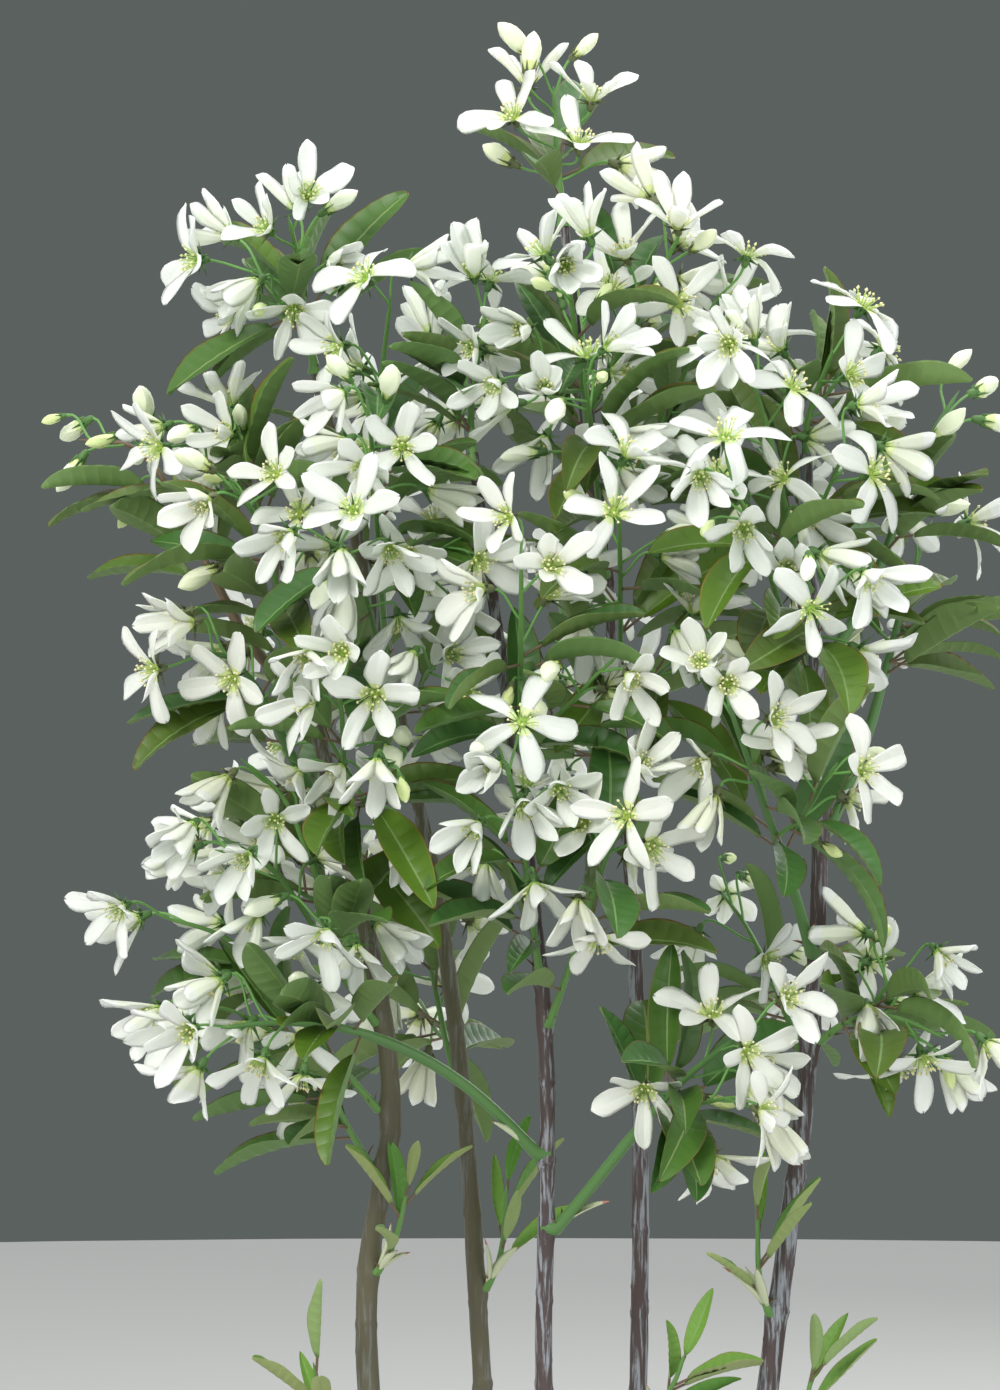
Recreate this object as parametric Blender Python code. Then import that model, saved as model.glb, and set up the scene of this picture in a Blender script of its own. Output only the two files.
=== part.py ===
"""A young serviceberry shrub in blossom: five slender stems from one root crown, hung with white racemes.

Metres, +Z up. The origin is the middle of the flat cut under the root crown, at ground level, and the
shrub's front looks along -Y. Every limb is a tapering tube along a smooth path. Every mass is one stalk
with its forks, leaves and flowers, which keep to the space that lies nearest to that stalk.
"""

import math
import random
from collections import namedtuple

import bmesh
import bpy
import numpy as np
from mathutils import Matrix, Vector
from mathutils.bvhtree import BVHTree

# Stems and root crown
CROWN_RADIUS = 0.040
CROWN_DEPTH = 0.78
CROWN_HEIGHT = 0.017
CROWN_LOBES = 5
LOBE_DEPTH = 0.10
LOBE_TURN = 0.6
CROWN_SIDES = 20
CROWN_PROFILE = ((0.0, 1.0), (0.35, 0.86), (0.75, 0.62), (1.0, 0.30))
STUB_TOP = 0.034
STUB_FLARE = 1.5
STUB_STEPS = 3
STEM_SIDES = 8
STEM_STEPS = 5
STEM_ROOT = 0.004
JOINT_GAP = 0.0003

# Shoots
LEAVING_ANGLE = math.radians(42)
SHOOT_STEPS = 4
BOUGH_RADIUS = 0.0017
BOUGH_TIP_RADIUS = 0.00138
BOUGH_SIDES = 6
STALK_SIDES = 3
STALK_RADIUS = 0.0012
STALK_TIP_RADIUS = 0.0009
FORK_RADIUS = 0.00096
FORK_ANGLE = math.radians(52)
FORK_FROM = 0.24
FORK_STEP = 0.16
FORK_SHARE = 0.75
FORK_LENGTH = 0.055
FORK_ROOM = 0.010
FORK_BEND = 0.4
FORK_NOD = 0.5

# How far a curve keeps the direction in which it leaves, and the one in which it arrives
KEEPS_LEAVING = 0.42
KEEPS_ARRIVING = 0.36
UPRIGHT = 0.05

# The leafy crown's middle, and how far it reaches from there
MIDDLE_X = -0.010
MIDDLE_Z = 0.470
CROWN_REACH = 0.150

# Flowers
PETALS = 5
PETAL_LENGTH = 0.0172
PETAL_TIP = 0.0030
PETAL_NOTCH = 0.24
WIDE_OPEN = math.radians(8)
HALF_CLOSED = math.radians(30)
NEARLY_CLOSED = math.radians(64)
OPENNESS = 1.6
FLOWER_HEART = 0.0016
CALYX_DEPTH = 0.0030
CALYX_RADIUS = 0.0013
PEDICEL_LENGTH = 0.0150
PEDICEL_RADIUS = 0.0006
PEDICEL_FOOT_RADIUS = 0.0004
PEDICEL_SHARE = 0.2
BARE_LENGTH = 0.0048
BUD_LENGTH = 0.0120
BUD_RADIUS = 0.0031
BUD_BELLY = 0.4
BUD_TIP = 0.25
FLOWER_RANGE = (0.9, 1.06)
PEDICEL_RANGE = (0.8, 1.25)
FLOWERING_LENGTH = 0.050
FLOWERING_SHARE = 0.72
TIP_SHARE = 0.04
FEW_BUDS = 0.12
MANY_BUDS = 1.0
STILL_IN_BUD = "far_left"
GOLDEN_ANGLE = math.radians(137.5)

# Leaves
LEAF_LENGTH = 0.0370
LEAF_WIDTH = 0.43
LEAF_THICKNESS = 0.0008
PETIOLE_LENGTH = 0.0080
YOUNG_LEAF_LENGTH = 0.0260
YOUNG_LEAF_WIDTH = 0.30
LEAFY_LENGTH = 0.045
LEAFY_FROM = 0.1
LEAFY_TO = 0.45
LEAF_OVERLAP = 0.7
LEAF_RANGE = (0.78, 1.12)
LEAF_OUTLINE = ((0.22, 1, 0.42), (0.62, 1, 0.46), (1.0, 0, 0.46), (0.62, -1, 0.46), (0.22, -1, 0.42))
LEAF_RIDGE = 0.42
LEAF_FOOT = 0.4

# How flowers and leaves set out from a twig, with leans in degrees. Each try is looser than the last,
# and a spread is how far chance may then take a thing off its own value.
TIGHTEST = 0.15
AGE_SPREAD = 0.3
TURN_SPREAD = 2
FLOWER_LEAN = 78
LEAN_LOST = 55
FLOWER_LEAN_SPREAD = 0.3
LEAF_LEAN = 62
YOUNG_LEAF_LEAN = 26
LEAF_LEAN_SPREAD = 0.35
LEAF_OUTWARD = 0.25
LEAF_RISE = (-0.2, 0.25)
LIGHT_SPREAD = (-0.6, 0.6)
LIGHT_OUTWARD = 0.5

# What draws a flower's face: its own pedicel, its neighbours, the light outside, chance and its weight
FACING_AHEAD = 0.45
FACING_APART = 0.45
FACING_OUTWARD = 0.55
FACING_CHANCE = 0.2
FACING_LOOSE = 0.15
FACING_NOD = 0.5
FACING_LEAST = 0.3

# The room that each thing keeps round itself, and how often a place for it is sought
SPARE = 0.0006
TRIES = 16

Stem = namedtuple("Stem", "name foot knee waist tip thickness slimness")
Shoot = namedtuple("Shoot", "name stem height tip bare forks flowers leaves nod")

# A stem passes through its foot on the crown, its knee and its waist, and is thickness wide at the foot.
STEMS = (
    Stem(
        "stem_left", (-0.026, -0.006), (-0.0570, -0.015, 0.262), (-0.0512, -0.019, 0.362),
        (-0.086, -0.012, 0.512), 0.0094, 0.0040,
    ),
    Stem(
        "stem_left_back", (-0.013, 0.010), (-0.0235, 0.022, 0.262), (-0.0370, 0.026, 0.405),
        (-0.074, 0.008, 0.568), 0.0078, 0.0034,
    ),
    Stem(
        "stem_middle", (-0.003, -0.013), (-0.0050, -0.026, 0.262), (-0.0055, -0.034, 0.380),
        (-0.026, -0.024, 0.540), 0.0069, 0.0032,
    ),
    Stem(
        "stem_tall", (0.011, 0.009), (0.0240, 0.014, 0.262), (0.0200, 0.016, 0.440),
        (0.001, 0.002, 0.612), 0.0075, 0.0028,
    ),
    Stem(
        "stem_right", (0.026, -0.004), (0.0620, -0.008, 0.262), (0.0768, -0.012, 0.402),
        (0.073, -0.016, 0.540), 0.0092, 0.0036,
    ),
)

# A shoot leaves its stem at a height and ends at its tip. A height of zero continues the stem's own tip,
# bare is the length of the bough under the leaves, and nod turns the raceme down, or up where negative.
SHOOTS = (
    Shoot("crest", "stem_tall", 0, (-0.002, -0.002, 0.651), 0, 0, 9, 1, -0.6),
    Shoot("crest_low", "stem_tall", 0.548, (0.001, -0.046, 0.600), 0, 1, 7, 3, -0.3),
    Shoot("crest_right", "stem_tall", 0.556, (0.034, -0.030, 0.603), 0, 1, 7, 3, -0.2),
    Shoot("crest_front", "stem_tall", 0.505, (0.006, -0.070, 0.562), 0, 0, 6, 4, 0.2),
    Shoot("shoulder", "stem_tall", 0.520, (0.047, -0.012, 0.588), 0, 0, 5, 3, 0.0),
    Shoot("high_left", "stem_left_back", 0, (-0.081, -0.012, 0.611), 0, 1, 11, 4, 0.4),
    Shoot("high_middle", "stem_middle", 0, (-0.022, -0.030, 0.583), 0, 1, 7, 3, 0.1),
    Shoot("high_inner", "stem_left_back", 0.520, (-0.050, -0.034, 0.586), 0, 0, 5, 3, 0.0),
    Shoot("left_face", "stem_left_back", 0.480, (-0.056, -0.078, 0.553), 0, 1, 8, 3, 0.3),
    Shoot("left_crest", "stem_left", 0, (-0.112, -0.020, 0.546), 0, 1, 8, 3, 0.7),
    Shoot("far_left", "stem_left", 0.470, (-0.146, 0.018, 0.546), 0.030, 0, 6, 2, 0.9),
    Shoot("left_front", "stem_left", 0.468, (-0.096, -0.066, 0.530), 0, 0, 5, 3, 0.6),
    Shoot("left_middle", "stem_left_back", 0.440, (-0.068, -0.082, 0.513), 0, 1, 8, 3, 0.7),
    Shoot("inner_front", "stem_middle", 0.440, (-0.012, -0.092, 0.506), 0, 1, 7, 4, 0.1),
    Shoot("middle_front", "stem_tall", 0.452, (0.016, -0.078, 0.524), 0, 1, 7, 4, 0.1),
    Shoot("right_high", "stem_right", 0.500, (0.054, -0.058, 0.562), 0, 1, 8, 4, 0.3),
    Shoot("right_crest", "stem_right", 0, (0.080, -0.030, 0.570), 0, 2, 9, 4, 0.2),
    Shoot("far_right", "stem_right", 0.478, (0.120, 0.002, 0.560), 0.028, 0, 4, 1, 0.3),
    Shoot("right_front", "stem_right", 0.462, (0.044, -0.088, 0.533), 0, 1, 9, 4, 0.4),
    Shoot("right_outer", "stem_right", 0.428, (0.114, 0.028, 0.522), 0.045, 0, 3, 5, 0.2),
    Shoot("left_low_front", "stem_left", 0.432, (-0.107, -0.056, 0.480), 0.024, 0, 6, 4, 0.9),
    Shoot("left_inner_low", "stem_left", 0.418, (-0.064, -0.084, 0.468), 0, 1, 8, 3, 0.6),
    Shoot("heart", "stem_right", 0.392, (0.046, -0.090, 0.468), 0.030, 1, 7, 4, 0.0),
    Shoot("middle_low", "stem_middle", 0.386, (-0.016, -0.090, 0.449), 0, 0, 7, 4, 0.4),
    Shoot("middle_low_right", "stem_middle", 0.372, (0.022, -0.092, 0.439), 0, 0, 6, 3, 0.4),
    Shoot("left_low_high", "stem_left", 0.372, (-0.100, -0.066, 0.424), 0, 1, 8, 3, 0.7),
    Shoot("left_low_outer", "stem_left", 0.346, (-0.119, -0.036, 0.404), 0, 1, 8, 3, 0.6),
    Shoot("left_shoulder", "stem_left", 0.392, (-0.094, -0.040, 0.450), 0, 1, 6, 3, 0.6),
    Shoot("left_low", "stem_middle", 0.334, (-0.098, -0.072, 0.373), 0.062, 0, 7, 5, 0.5),
    Shoot("left_foot", "stem_left", 0.328, (-0.086, -0.022, 0.380), 0, 0, 3, 4, 0.4),
    Shoot("right_low_outer", "stem_right", 0.366, (0.112, -0.038, 0.368), 0, 2, 10, 4, 0.5),
    Shoot("right_low", "stem_middle", 0.312, (0.056, -0.078, 0.374), 0.040, 1, 8, 4, 0.3),
    Shoot("right_inner", "stem_right", 0.360, (0.050, 0.038, 0.408), 0, 0, 5, 4, 0.3),
    Shoot("back_crest", "stem_tall", 0.530, (0.006, 0.052, 0.596), 0, 1, 5, 3, 0.0),
    Shoot("back_left_high", "stem_left_back", 0.486, (-0.056, 0.066, 0.560), 0, 1, 5, 3, 0.2),
    Shoot("back_right_high", "stem_right", 0.470, (0.066, 0.060, 0.545), 0, 1, 5, 3, 0.2),
    Shoot("back_left", "stem_left_back", 0.410, (-0.098, 0.060, 0.486), 0, 1, 5, 3, 0.4),
    Shoot("back_middle", "stem_tall", 0.430, (0.000, 0.092, 0.498), 0, 1, 5, 3, 0.3),
    Shoot("back_low", "stem_left_back", 0.346, (-0.050, 0.086, 0.412), 0, 1, 5, 3, 0.5),
)

# A tuft of young leaves that opens from a bud on a bare stem.
TUFTS = (
    Shoot("tuft_left", "stem_left", 0.298, (-0.0450, -0.030, 0.326), 0, 0, 0, 4, -0.8),
    Shoot("tuft_left_back", "stem_left_back", 0.288, (-0.0160, 0.016, 0.320), 0, 0, 0, 4, -0.8),
    Shoot("tuft_low_left", "stem_left", 0.236, (-0.0730, -0.030, 0.272), 0, 0, 0, 4, -0.8),
    Shoot("tuft_low_middle", "stem_middle", 0.222, (-0.0250, -0.040, 0.252), 0, 0, 0, 4, -0.8),
    Shoot("tuft_low_right", "stem_tall", 0.246, (0.0370, -0.010, 0.272), 0, 0, 0, 4, -0.8),
    Shoot("tuft_outer_right", "stem_right", 0.242, (0.0760, -0.014, 0.272), 0, 0, 0, 4, -0.8),
    Shoot("tuft_right", "stem_right", 0.284, (0.0580, -0.022, 0.318), 0, 0, 0, 4, -0.4),
)

COLOURS = {
    "bark": ((0.085, 0.062, 0.055), 0.75),
    "green_wood": ((0.16, 0.27, 0.09), 0.55),
    "leaf": ((0.13, 0.20, 0.045), 0.5),
    "young_leaf": ((0.22, 0.36, 0.08), 0.5),
    "petal": ((0.86, 0.88, 0.82), 0.6),
}


# Paths

def smooth_path(points, count):
    """Points along one smooth curve through the given ones, in count even steps of each stretch."""
    ends = [2 * points[0] - points[1], *points, 2 * points[-1] - points[-2]]
    path = [points[0]]
    for before, start, end, after in zip(ends, ends[1:], ends[2:], ends[3:]):
        leave, arrive = (end - before) / 2, (after - start) / 2
        for step in range(1, count + 1):
            t = step / count
            path.append(
                start * (1 + 2 * t) * (1 - t) ** 2
                + leave * t * (1 - t) ** 2
                + end * t * t * (3 - 2 * t)
                - arrive * t * t * (1 - t)
            )
    return path


def lengths_along(path):
    """How far along the path each of its points lies."""
    runs = [0.0]
    for a, b in zip(path, path[1:]):
        runs.append(runs[-1] + (b - a).length)
    return runs


def point_at(path, share):
    """The point and the direction at a share of the path's length."""
    runs = lengths_along(path)
    wanted = min(max(share, 0.0), 1.0) * runs[-1]
    for k in range(1, len(path)):
        if wanted <= runs[k] or k == len(path) - 1:
            step = path[k] - path[k - 1]
            t = (wanted - runs[k - 1]) / (runs[k] - runs[k - 1])
            return path[k - 1] + step * t, step.normalized()


def stretch_of(path, start, end, count):
    """The part of the path between two shares of its length, in count even steps."""
    return [point_at(path, start + (end - start) * k / count)[0] for k in range(count + 1)]


def share_at_height(path, height):
    """The share of a rising path's length at which it reaches the height."""
    runs = lengths_along(path)
    for k in range(1, len(path)):
        if path[k].z >= height:
            t = (height - path[k - 1].z) / (path[k].z - path[k - 1].z)
            return (runs[k - 1] + t * (runs[k] - runs[k - 1])) / runs[-1]
    return 1.0


def shoot_path(start, leaving, tip, nod, steps=12):
    """A curve that sets out in the leaving direction and comes to its tip turned down by nod."""
    span = tip - start
    arriving = (span.normalized() - Vector((0, 0, nod))).normalized()
    first = start + leaving * span.length * KEEPS_LEAVING
    second = tip - arriving * span.length * KEEPS_ARRIVING
    path = []
    for step in range(steps + 1):
        t = step / steps
        s = 1 - t
        path.append(start * s**3 + first * 3 * s * s * t + second * 3 * s * t * t + tip * t**3)
    return path


def across(direction):
    """Two directions square to this one and to each other."""
    side = direction.cross(Vector((0, 0, 1)))
    if side.length < UPRIGHT:
        side = direction.cross(Vector((0, 1, 0)))
    side.normalize()
    return side, direction.cross(side).normalized()


# Shapes, each as points and faces. Spare makes a shape that much bigger all round, and
# bare leaves out that length of its stem's foot, for the tests of what stands clear of what.

def tube_shape(path, radii, sides):
    """A closed tube of flat sides along a path."""
    points, faces = [], []
    side, other = across((path[1] - path[0]).normalized())
    for k, (middle, radius) in enumerate(zip(path, radii)):
        ahead = (path[min(k + 1, len(path) - 1)] - path[max(k - 1, 0)]).normalized()
        side = (side - ahead * side.dot(ahead)).normalized()
        other = ahead.cross(side)
        for n in range(sides):
            angle = 2 * math.pi * n / sides
            points.append(middle + (side * math.cos(angle) + other * math.sin(angle)) * radius)
    for k in range(len(path) - 1):
        for n in range(sides):
            a, b = k * sides + n, k * sides + (n + 1) % sides
            faces.append((a, b, b + sides, a + sides))
    faces.append(tuple(range(sides))[::-1])
    faces.append(tuple(range(len(points) - sides, len(points))))
    return points, faces


def even_radii(start, end, count):
    return [start + (end - start) * k / (count - 1) for k in range(count)]


def flower_shape(flower, spare=0.0, bare=0.0):
    """Petals that spread or half close round a heart, whose underside narrows to the pedicel."""
    side, other = across(flower.facing)

    def place(angle, reach, lift, sideways=0.0):
        way = side * math.cos(angle) + other * math.sin(angle)
        return flower.centre + way * reach + flower.facing * lift + flower.facing.cross(way) * sideways

    reach, rise = math.cos(flower.lift) * flower.size, math.sin(flower.lift) * flower.size
    tips = (0,) if flower.lift > HALF_CLOSED else (-PETAL_TIP, PETAL_TIP)
    points = []
    for k in range(PETALS):
        middle = flower.roll + 2 * math.pi * k / PETALS
        notch = reach * PETAL_NOTCH + spare
        points.append(place(middle - math.pi / PETALS, notch, rise * PETAL_NOTCH))
        for tip in tips:
            points.append(place(middle, reach + spare, rise, tip))
    around = len(points)
    points.append(flower.centre + flower.facing * (FLOWER_HEART + rise * PETAL_NOTCH + spare * 2))
    calyx = [
        place(flower.roll + 2 * math.pi * n / 3, CALYX_RADIUS + spare, -CALYX_DEPTH - spare)
        for n in range(3)
    ]
    foot = flower.root + (flower.centre - flower.root).normalized() * bare
    under = flower.centre - flower.facing * (CALYX_DEPTH + spare)
    points += calyx
    points += [foot + (corner - under) * PEDICEL_SHARE for corner in calyx]
    top, ring, base = around, around + 1, around + 4
    faces = [(k, (k + 1) % around, top) for k in range(around)]
    for n in range(3):
        first, last = round(around * n / 3), round(around * (n + 1) / 3)
        for k in range(first, last):
            faces.append(((k + 1) % around, k, ring + n))
        faces.append((last % around, ring + n, ring + (n + 1) % 3))
        faces.append((ring + n, base + n, base + (n + 1) % 3, ring + (n + 1) % 3))
    faces.append((base, base + 1, base + 2))
    return points, faces


def bud_shape(flower, spare=0.0, bare=0.0):
    """A plump closed bud on its pedicel."""
    foot = flower.root + (flower.centre - flower.root).normalized() * bare
    neck = flower.centre - flower.facing * CALYX_DEPTH
    belly = flower.centre + flower.facing * BUD_LENGTH * BUD_BELLY
    tip = flower.centre + flower.facing * (BUD_LENGTH + spare)
    radii = [PEDICEL_FOOT_RADIUS, PEDICEL_RADIUS, BUD_RADIUS, BUD_RADIUS * BUD_TIP]
    return tube_shape([foot, neck, belly, tip], [radius + spare for radius in radii], 3)


def leaf_shape(leaf, spare=0.0, bare=0.0):
    """A pointed leaf, thickest along its midrib, with a narrow foot."""
    along = leaf.direction
    sideways = leaf.face.cross(along).normalized()
    start = leaf.root + along * PETIOLE_LENGTH * leaf.length / LEAF_LENGTH
    points = [leaf.root + along * (bare - STALK_TIP_RADIUS * LEAF_FOOT)]
    for share, side, half in LEAF_OUTLINE:
        breadth = half * leaf.width + spare
        reach = leaf.length * share + spare * (1 - abs(side))
        points.append(start + along * reach + sideways * side * breadth)
    middle = start + along * leaf.length * LEAF_RIDGE
    for side in (1, -1):
        points.append(middle + leaf.face * side * (LEAF_THICKNESS + spare))
    count = len(points) - 2
    faces = [(k, (k + 1) % count, count) for k in range(count)]
    faces += [((k + 1) % count, k, count + 1) for k in range(count)]
    return points, faces


def blossom_shape(flower, spare=0.0, bare=0.0):
    return bud_shape(flower, spare, bare) if flower.bud else flower_shape(flower, spare, bare)


# Room: a mass keeps to what lies nearest its own stalk, and nothing that grows may touch another thing

class Room:
    """All that has grown so far, as trees of faces in balls, and the lines of all limbs and twigs."""

    def __init__(self):
        self.trees = []
        self.middles = np.zeros((0, 3))
        self.reaches = np.zeros(0)
        self.starts = np.zeros((0, 3))
        self.ends = np.zeros((0, 3))
        self.owners = np.zeros(0, object)
        self.growers = []

    def keep(self, owner, points, faces):
        """Remembers a shape, and whose it is."""
        middle = sum(points, Vector()) / len(points)
        self.growers.append(owner)
        self.trees.append(BVHTree.FromPolygons(points, faces))
        self.middles = np.vstack([self.middles, np.array(middle)])
        self.reaches = np.append(self.reaches, max((point - middle).length for point in points))

    def keep_line(self, path, owner, radius):
        """Remembers a limb or a twig, and whose it is."""
        points = np.array(path, float)
        self.starts = np.vstack([self.starts, points[:-1]])
        self.ends = np.vstack([self.ends, points[1:]])
        self.owners = np.append(self.owners, np.array([owner] * (len(points) - 1), object))
        self.keep(owner, *tube_shape(path, [radius + SPARE] * len(path), 6))

    def distances(self, point):
        """The distance from a point to each straight piece of limb or twig."""
        along = self.ends - self.starts
        offset = np.array(point) - self.starts
        t = (offset * along).sum(1) / (along * along).sum(1)
        nearest = offset - np.clip(t, 0, 1)[:, None] * along
        return np.sqrt((nearest * nearest).sum(1))

    def owns(self, point, owner):
        """True where a point lies nearer to the owner's twigs than to any other mass's."""
        apart = self.distances(point)
        own = self.owners == owner
        return apart[own].min() < apart[~own & (self.owners != "limb")].min()

    def room_at(self, point, owner):
        """How far a point stays from all that isn't the owner's."""
        return float(self.distances(point)[self.owners != owner].min())

    def takes(self, make, thing, owner, spare):
        """Keeps a thing that crosses nothing, or only its own mass and with its foot. Says if it did."""
        points, faces = make(thing, spare)
        middle = sum(points, Vector()) / len(points)
        reach = max((point - middle).length for point in points)
        apart = np.sqrt(((self.middles - np.array(middle)) ** 2).sum(1))
        near = np.nonzero(apart < self.reaches + reach)[0]
        whole = BVHTree.FromPolygons(points, faces)
        outer = BVHTree.FromPolygons(*make(thing, spare, BARE_LENGTH))
        for k in near:
            if (outer if self.growers[k] == owner else whole).overlap(self.trees[k]):
                return False
        self.keep(owner, points, faces)
        return True


# Growth: where stems, boughs, stalks, leaves and flowers go

Flower = namedtuple("Flower", "root centre facing roll size lift bud")
Leaf = namedtuple("Leaf", "root direction face length width")
Growth = namedtuple("Growth", "shoot bough twigs flowers leaves")


def stem_path(stem, steps):
    """A stem's path from inside the crown to its tip."""
    points = [Vector((*stem.foot, STEM_ROOT)), Vector(stem.knee), Vector(stem.waist), Vector(stem.tip)]
    return smooth_path(points, steps)


def stem_radius(stem, height):
    """Half the stem's thickness, which narrows evenly from foot to tip."""
    share = min(max(height / stem.tip[2], 0), 1)
    return (stem.thickness + (stem.slimness - stem.thickness) * share) / 2


def shoot_start(shoot, stems):
    """Where the shoot's cut end lies, just clear of its stem, and the direction in which it sets out."""
    stem = next(s for s in STEMS if s.name == shoot.stem)
    path = stems[shoot.stem]
    if not shoot.height:
        tip, direction = point_at(path, 1)
        return tip + direction * JOINT_GAP, direction
    joint, direction = point_at(path, share_at_height(path, shoot.height))
    outward = Vector(shoot.tip) - joint
    outward = (outward - direction * outward.dot(direction)).normalized()
    leaving = direction * math.cos(LEAVING_ANGLE) + outward * math.sin(LEAVING_ANGLE)
    radius = BOUGH_RADIUS if shoot.bare else STALK_RADIUS
    corner = radius * math.cos(LEAVING_ANGLE) * math.cos(math.pi / 6)
    return joint + outward * (stem_radius(stem, joint.z) + JOINT_GAP + corner), leaving


def off_the_twig(axis, angle, lean):
    """The direction that leans away from a twig's own, turned by an angle round it."""
    side, other = across(axis)
    sideways = side * math.cos(angle) + other * math.sin(angle)
    return axis * math.cos(lean) + sideways * math.sin(lean)


def fork_paths(shoot, stalk, room, rng):
    """Side stalks, each of which goes where the shrub has most room for it."""
    forks = []
    for k in range(shoot.forks):
        share = FORK_FROM + FORK_STEP * k
        root, axis = point_at(stalk, share)
        length = min(FORK_SHARE * (1 - share) * lengths_along(stalk)[-1], FORK_LENGTH)
        turn = rng.uniform(0, 2 * math.pi)
        best = None
        for attempt in range(TRIES):
            way = off_the_twig(axis, turn + 2 * math.pi * attempt / TRIES, FORK_ANGLE)
            tip = root + (way + axis * FORK_BEND).normalized() * length
            path = shoot_path(root, way, tip, shoot.nod * FORK_NOD, SHOOT_STEPS)
            if math.hypot(path[-1].x, path[-1].y) > CROWN_REACH:
                continue
            near = [room.room_at(point, shoot.name) for point in path[2:]]
            score = min([*near, *((path[-1] - fork[-1]).length for fork in forks)])
            if score > FORK_ROOM and (best is None or score > best[0]):
                best = (score, path)
        if best:
            forks.append(best[1])
            room.keep_line(best[1], shoot.name, STALK_RADIUS)
    return forks


def outward_at(point):
    """The level direction away from the shrub's middle, turned up a little near its top."""
    level = Vector((point.x - MIDDLE_X, point.y, 0))
    return (level / CROWN_REACH + Vector((0, 0, max(0, point.z - MIDDLE_Z) / CROWN_REACH))).normalized()


def grow_flowers(shoot, twig, count, room, rng, spare, flowers, buds):
    """Flowers on pedicels round the outer part of a twig, the youngest of them still buds."""
    turn = rng.uniform(0, 2 * math.pi)
    length = lengths_along(twig)[-1]
    bloom = min(FLOWERING_SHARE, FLOWERING_LENGTH / length)
    hub = point_at(twig, 1 - bloom / 2)[0]
    for k in range(count):
        bud = rng.random() < buds
        size = PETAL_LENGTH * rng.uniform(*FLOWER_RANGE)
        lift = WIDE_OPEN + (NEARLY_CLOSED - WIDE_OPEN) * rng.random() ** (OPENNESS - shoot.nod)
        for attempt in range(TRIES * 2):
            loose = TIGHTEST + attempt / TRIES
            age = min(max((k + 0.5) / count + rng.uniform(-AGE_SPREAD, AGE_SPREAD) * loose, 0), 1)
            root, axis = point_at(twig, 1 - TIP_SHARE - bloom * (1 - age))
            angle = turn + GOLDEN_ANGLE * k + rng.uniform(-TURN_SPREAD, TURN_SPREAD) * loose
            stray = rng.uniform(-FLOWER_LEAN_SPREAD, FLOWER_LEAN_SPREAD) * loose
            way = off_the_twig(axis, angle, math.radians(FLOWER_LEAN - LEAN_LOST * age) + stray)
            centre = root + way * PEDICEL_LENGTH * rng.uniform(*PEDICEL_RANGE)
            chance = Vector((rng.uniform(-1, 1), rng.uniform(-1, 1), rng.uniform(-1, 1)))
            apart, outward = (centre - hub).normalized(), outward_at(centre)
            facing = way * FACING_AHEAD + apart * FACING_APART + outward * FACING_OUTWARD
            facing = facing + chance * (FACING_CHANCE + FACING_LOOSE * loose)
            facing = (facing - Vector((0, 0, FACING_NOD * shoot.nod))).normalized()
            if facing.dot(way) < FACING_LEAST or not room.owns(centre, shoot.name):
                continue
            flower = Flower(root, centre, facing, rng.uniform(0, 2 * math.pi), size, lift, bud)
            if room.takes(blossom_shape, flower, shoot.name, spare):
                flowers.append(flower)
                break


def grow_leaves(shoot, twig, count, room, rng, spare, leaves, young=False):
    """Leaves set alternately along the lower part of a twig, faces to the light, tips arching out."""
    turn = rng.uniform(0, 2 * math.pi)
    length, width = (YOUNG_LEAF_LENGTH, YOUNG_LEAF_WIDTH) if young else (LEAF_LENGTH, LEAF_WIDTH)
    run = lengths_along(twig)[-1]
    last = 1 - TIP_SHARE if young else max(LEAFY_TO, 1 - FLOWERING_LENGTH * LEAF_OVERLAP / run)
    first = max(LEAFY_FROM, last - LEAFY_LENGTH / run)
    for k in range(count):
        size = length * rng.uniform(*LEAF_RANGE)
        for attempt in range(TRIES * 2):
            loose = TIGHTEST + attempt / TRIES
            age = min(max((k + 0.5) / count + rng.uniform(-AGE_SPREAD, AGE_SPREAD) * loose, 0), 1)
            root, axis = point_at(twig, first + (last - first) * age)
            angle = turn + GOLDEN_ANGLE * k + rng.uniform(-TURN_SPREAD, TURN_SPREAD) * loose
            stray = rng.uniform(-LEAF_LEAN_SPREAD, LEAF_LEAN_SPREAD) * loose
            way = off_the_twig(axis, angle, math.radians(YOUNG_LEAF_LEAN if young else LEAF_LEAN) + stray)
            outward = outward_at(root)
            way = (way + outward * LEAF_OUTWARD + Vector((0, 0, rng.uniform(*LEAF_RISE)))).normalized()
            light = Vector((rng.uniform(*LIGHT_SPREAD), rng.uniform(*LIGHT_SPREAD), 1))
            face = axis if young else light + outward * LIGHT_OUTWARD
            face = (face - way * face.dot(way)).normalized()
            leaf = Leaf(root, way, face, size, size * width)
            if not room.owns(root + way * size * LEAF_OVERLAP, shoot.name):
                continue
            if room.takes(leaf_shape, leaf, shoot.name, spare):
                leaves.append(leaf)
                break


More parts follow.
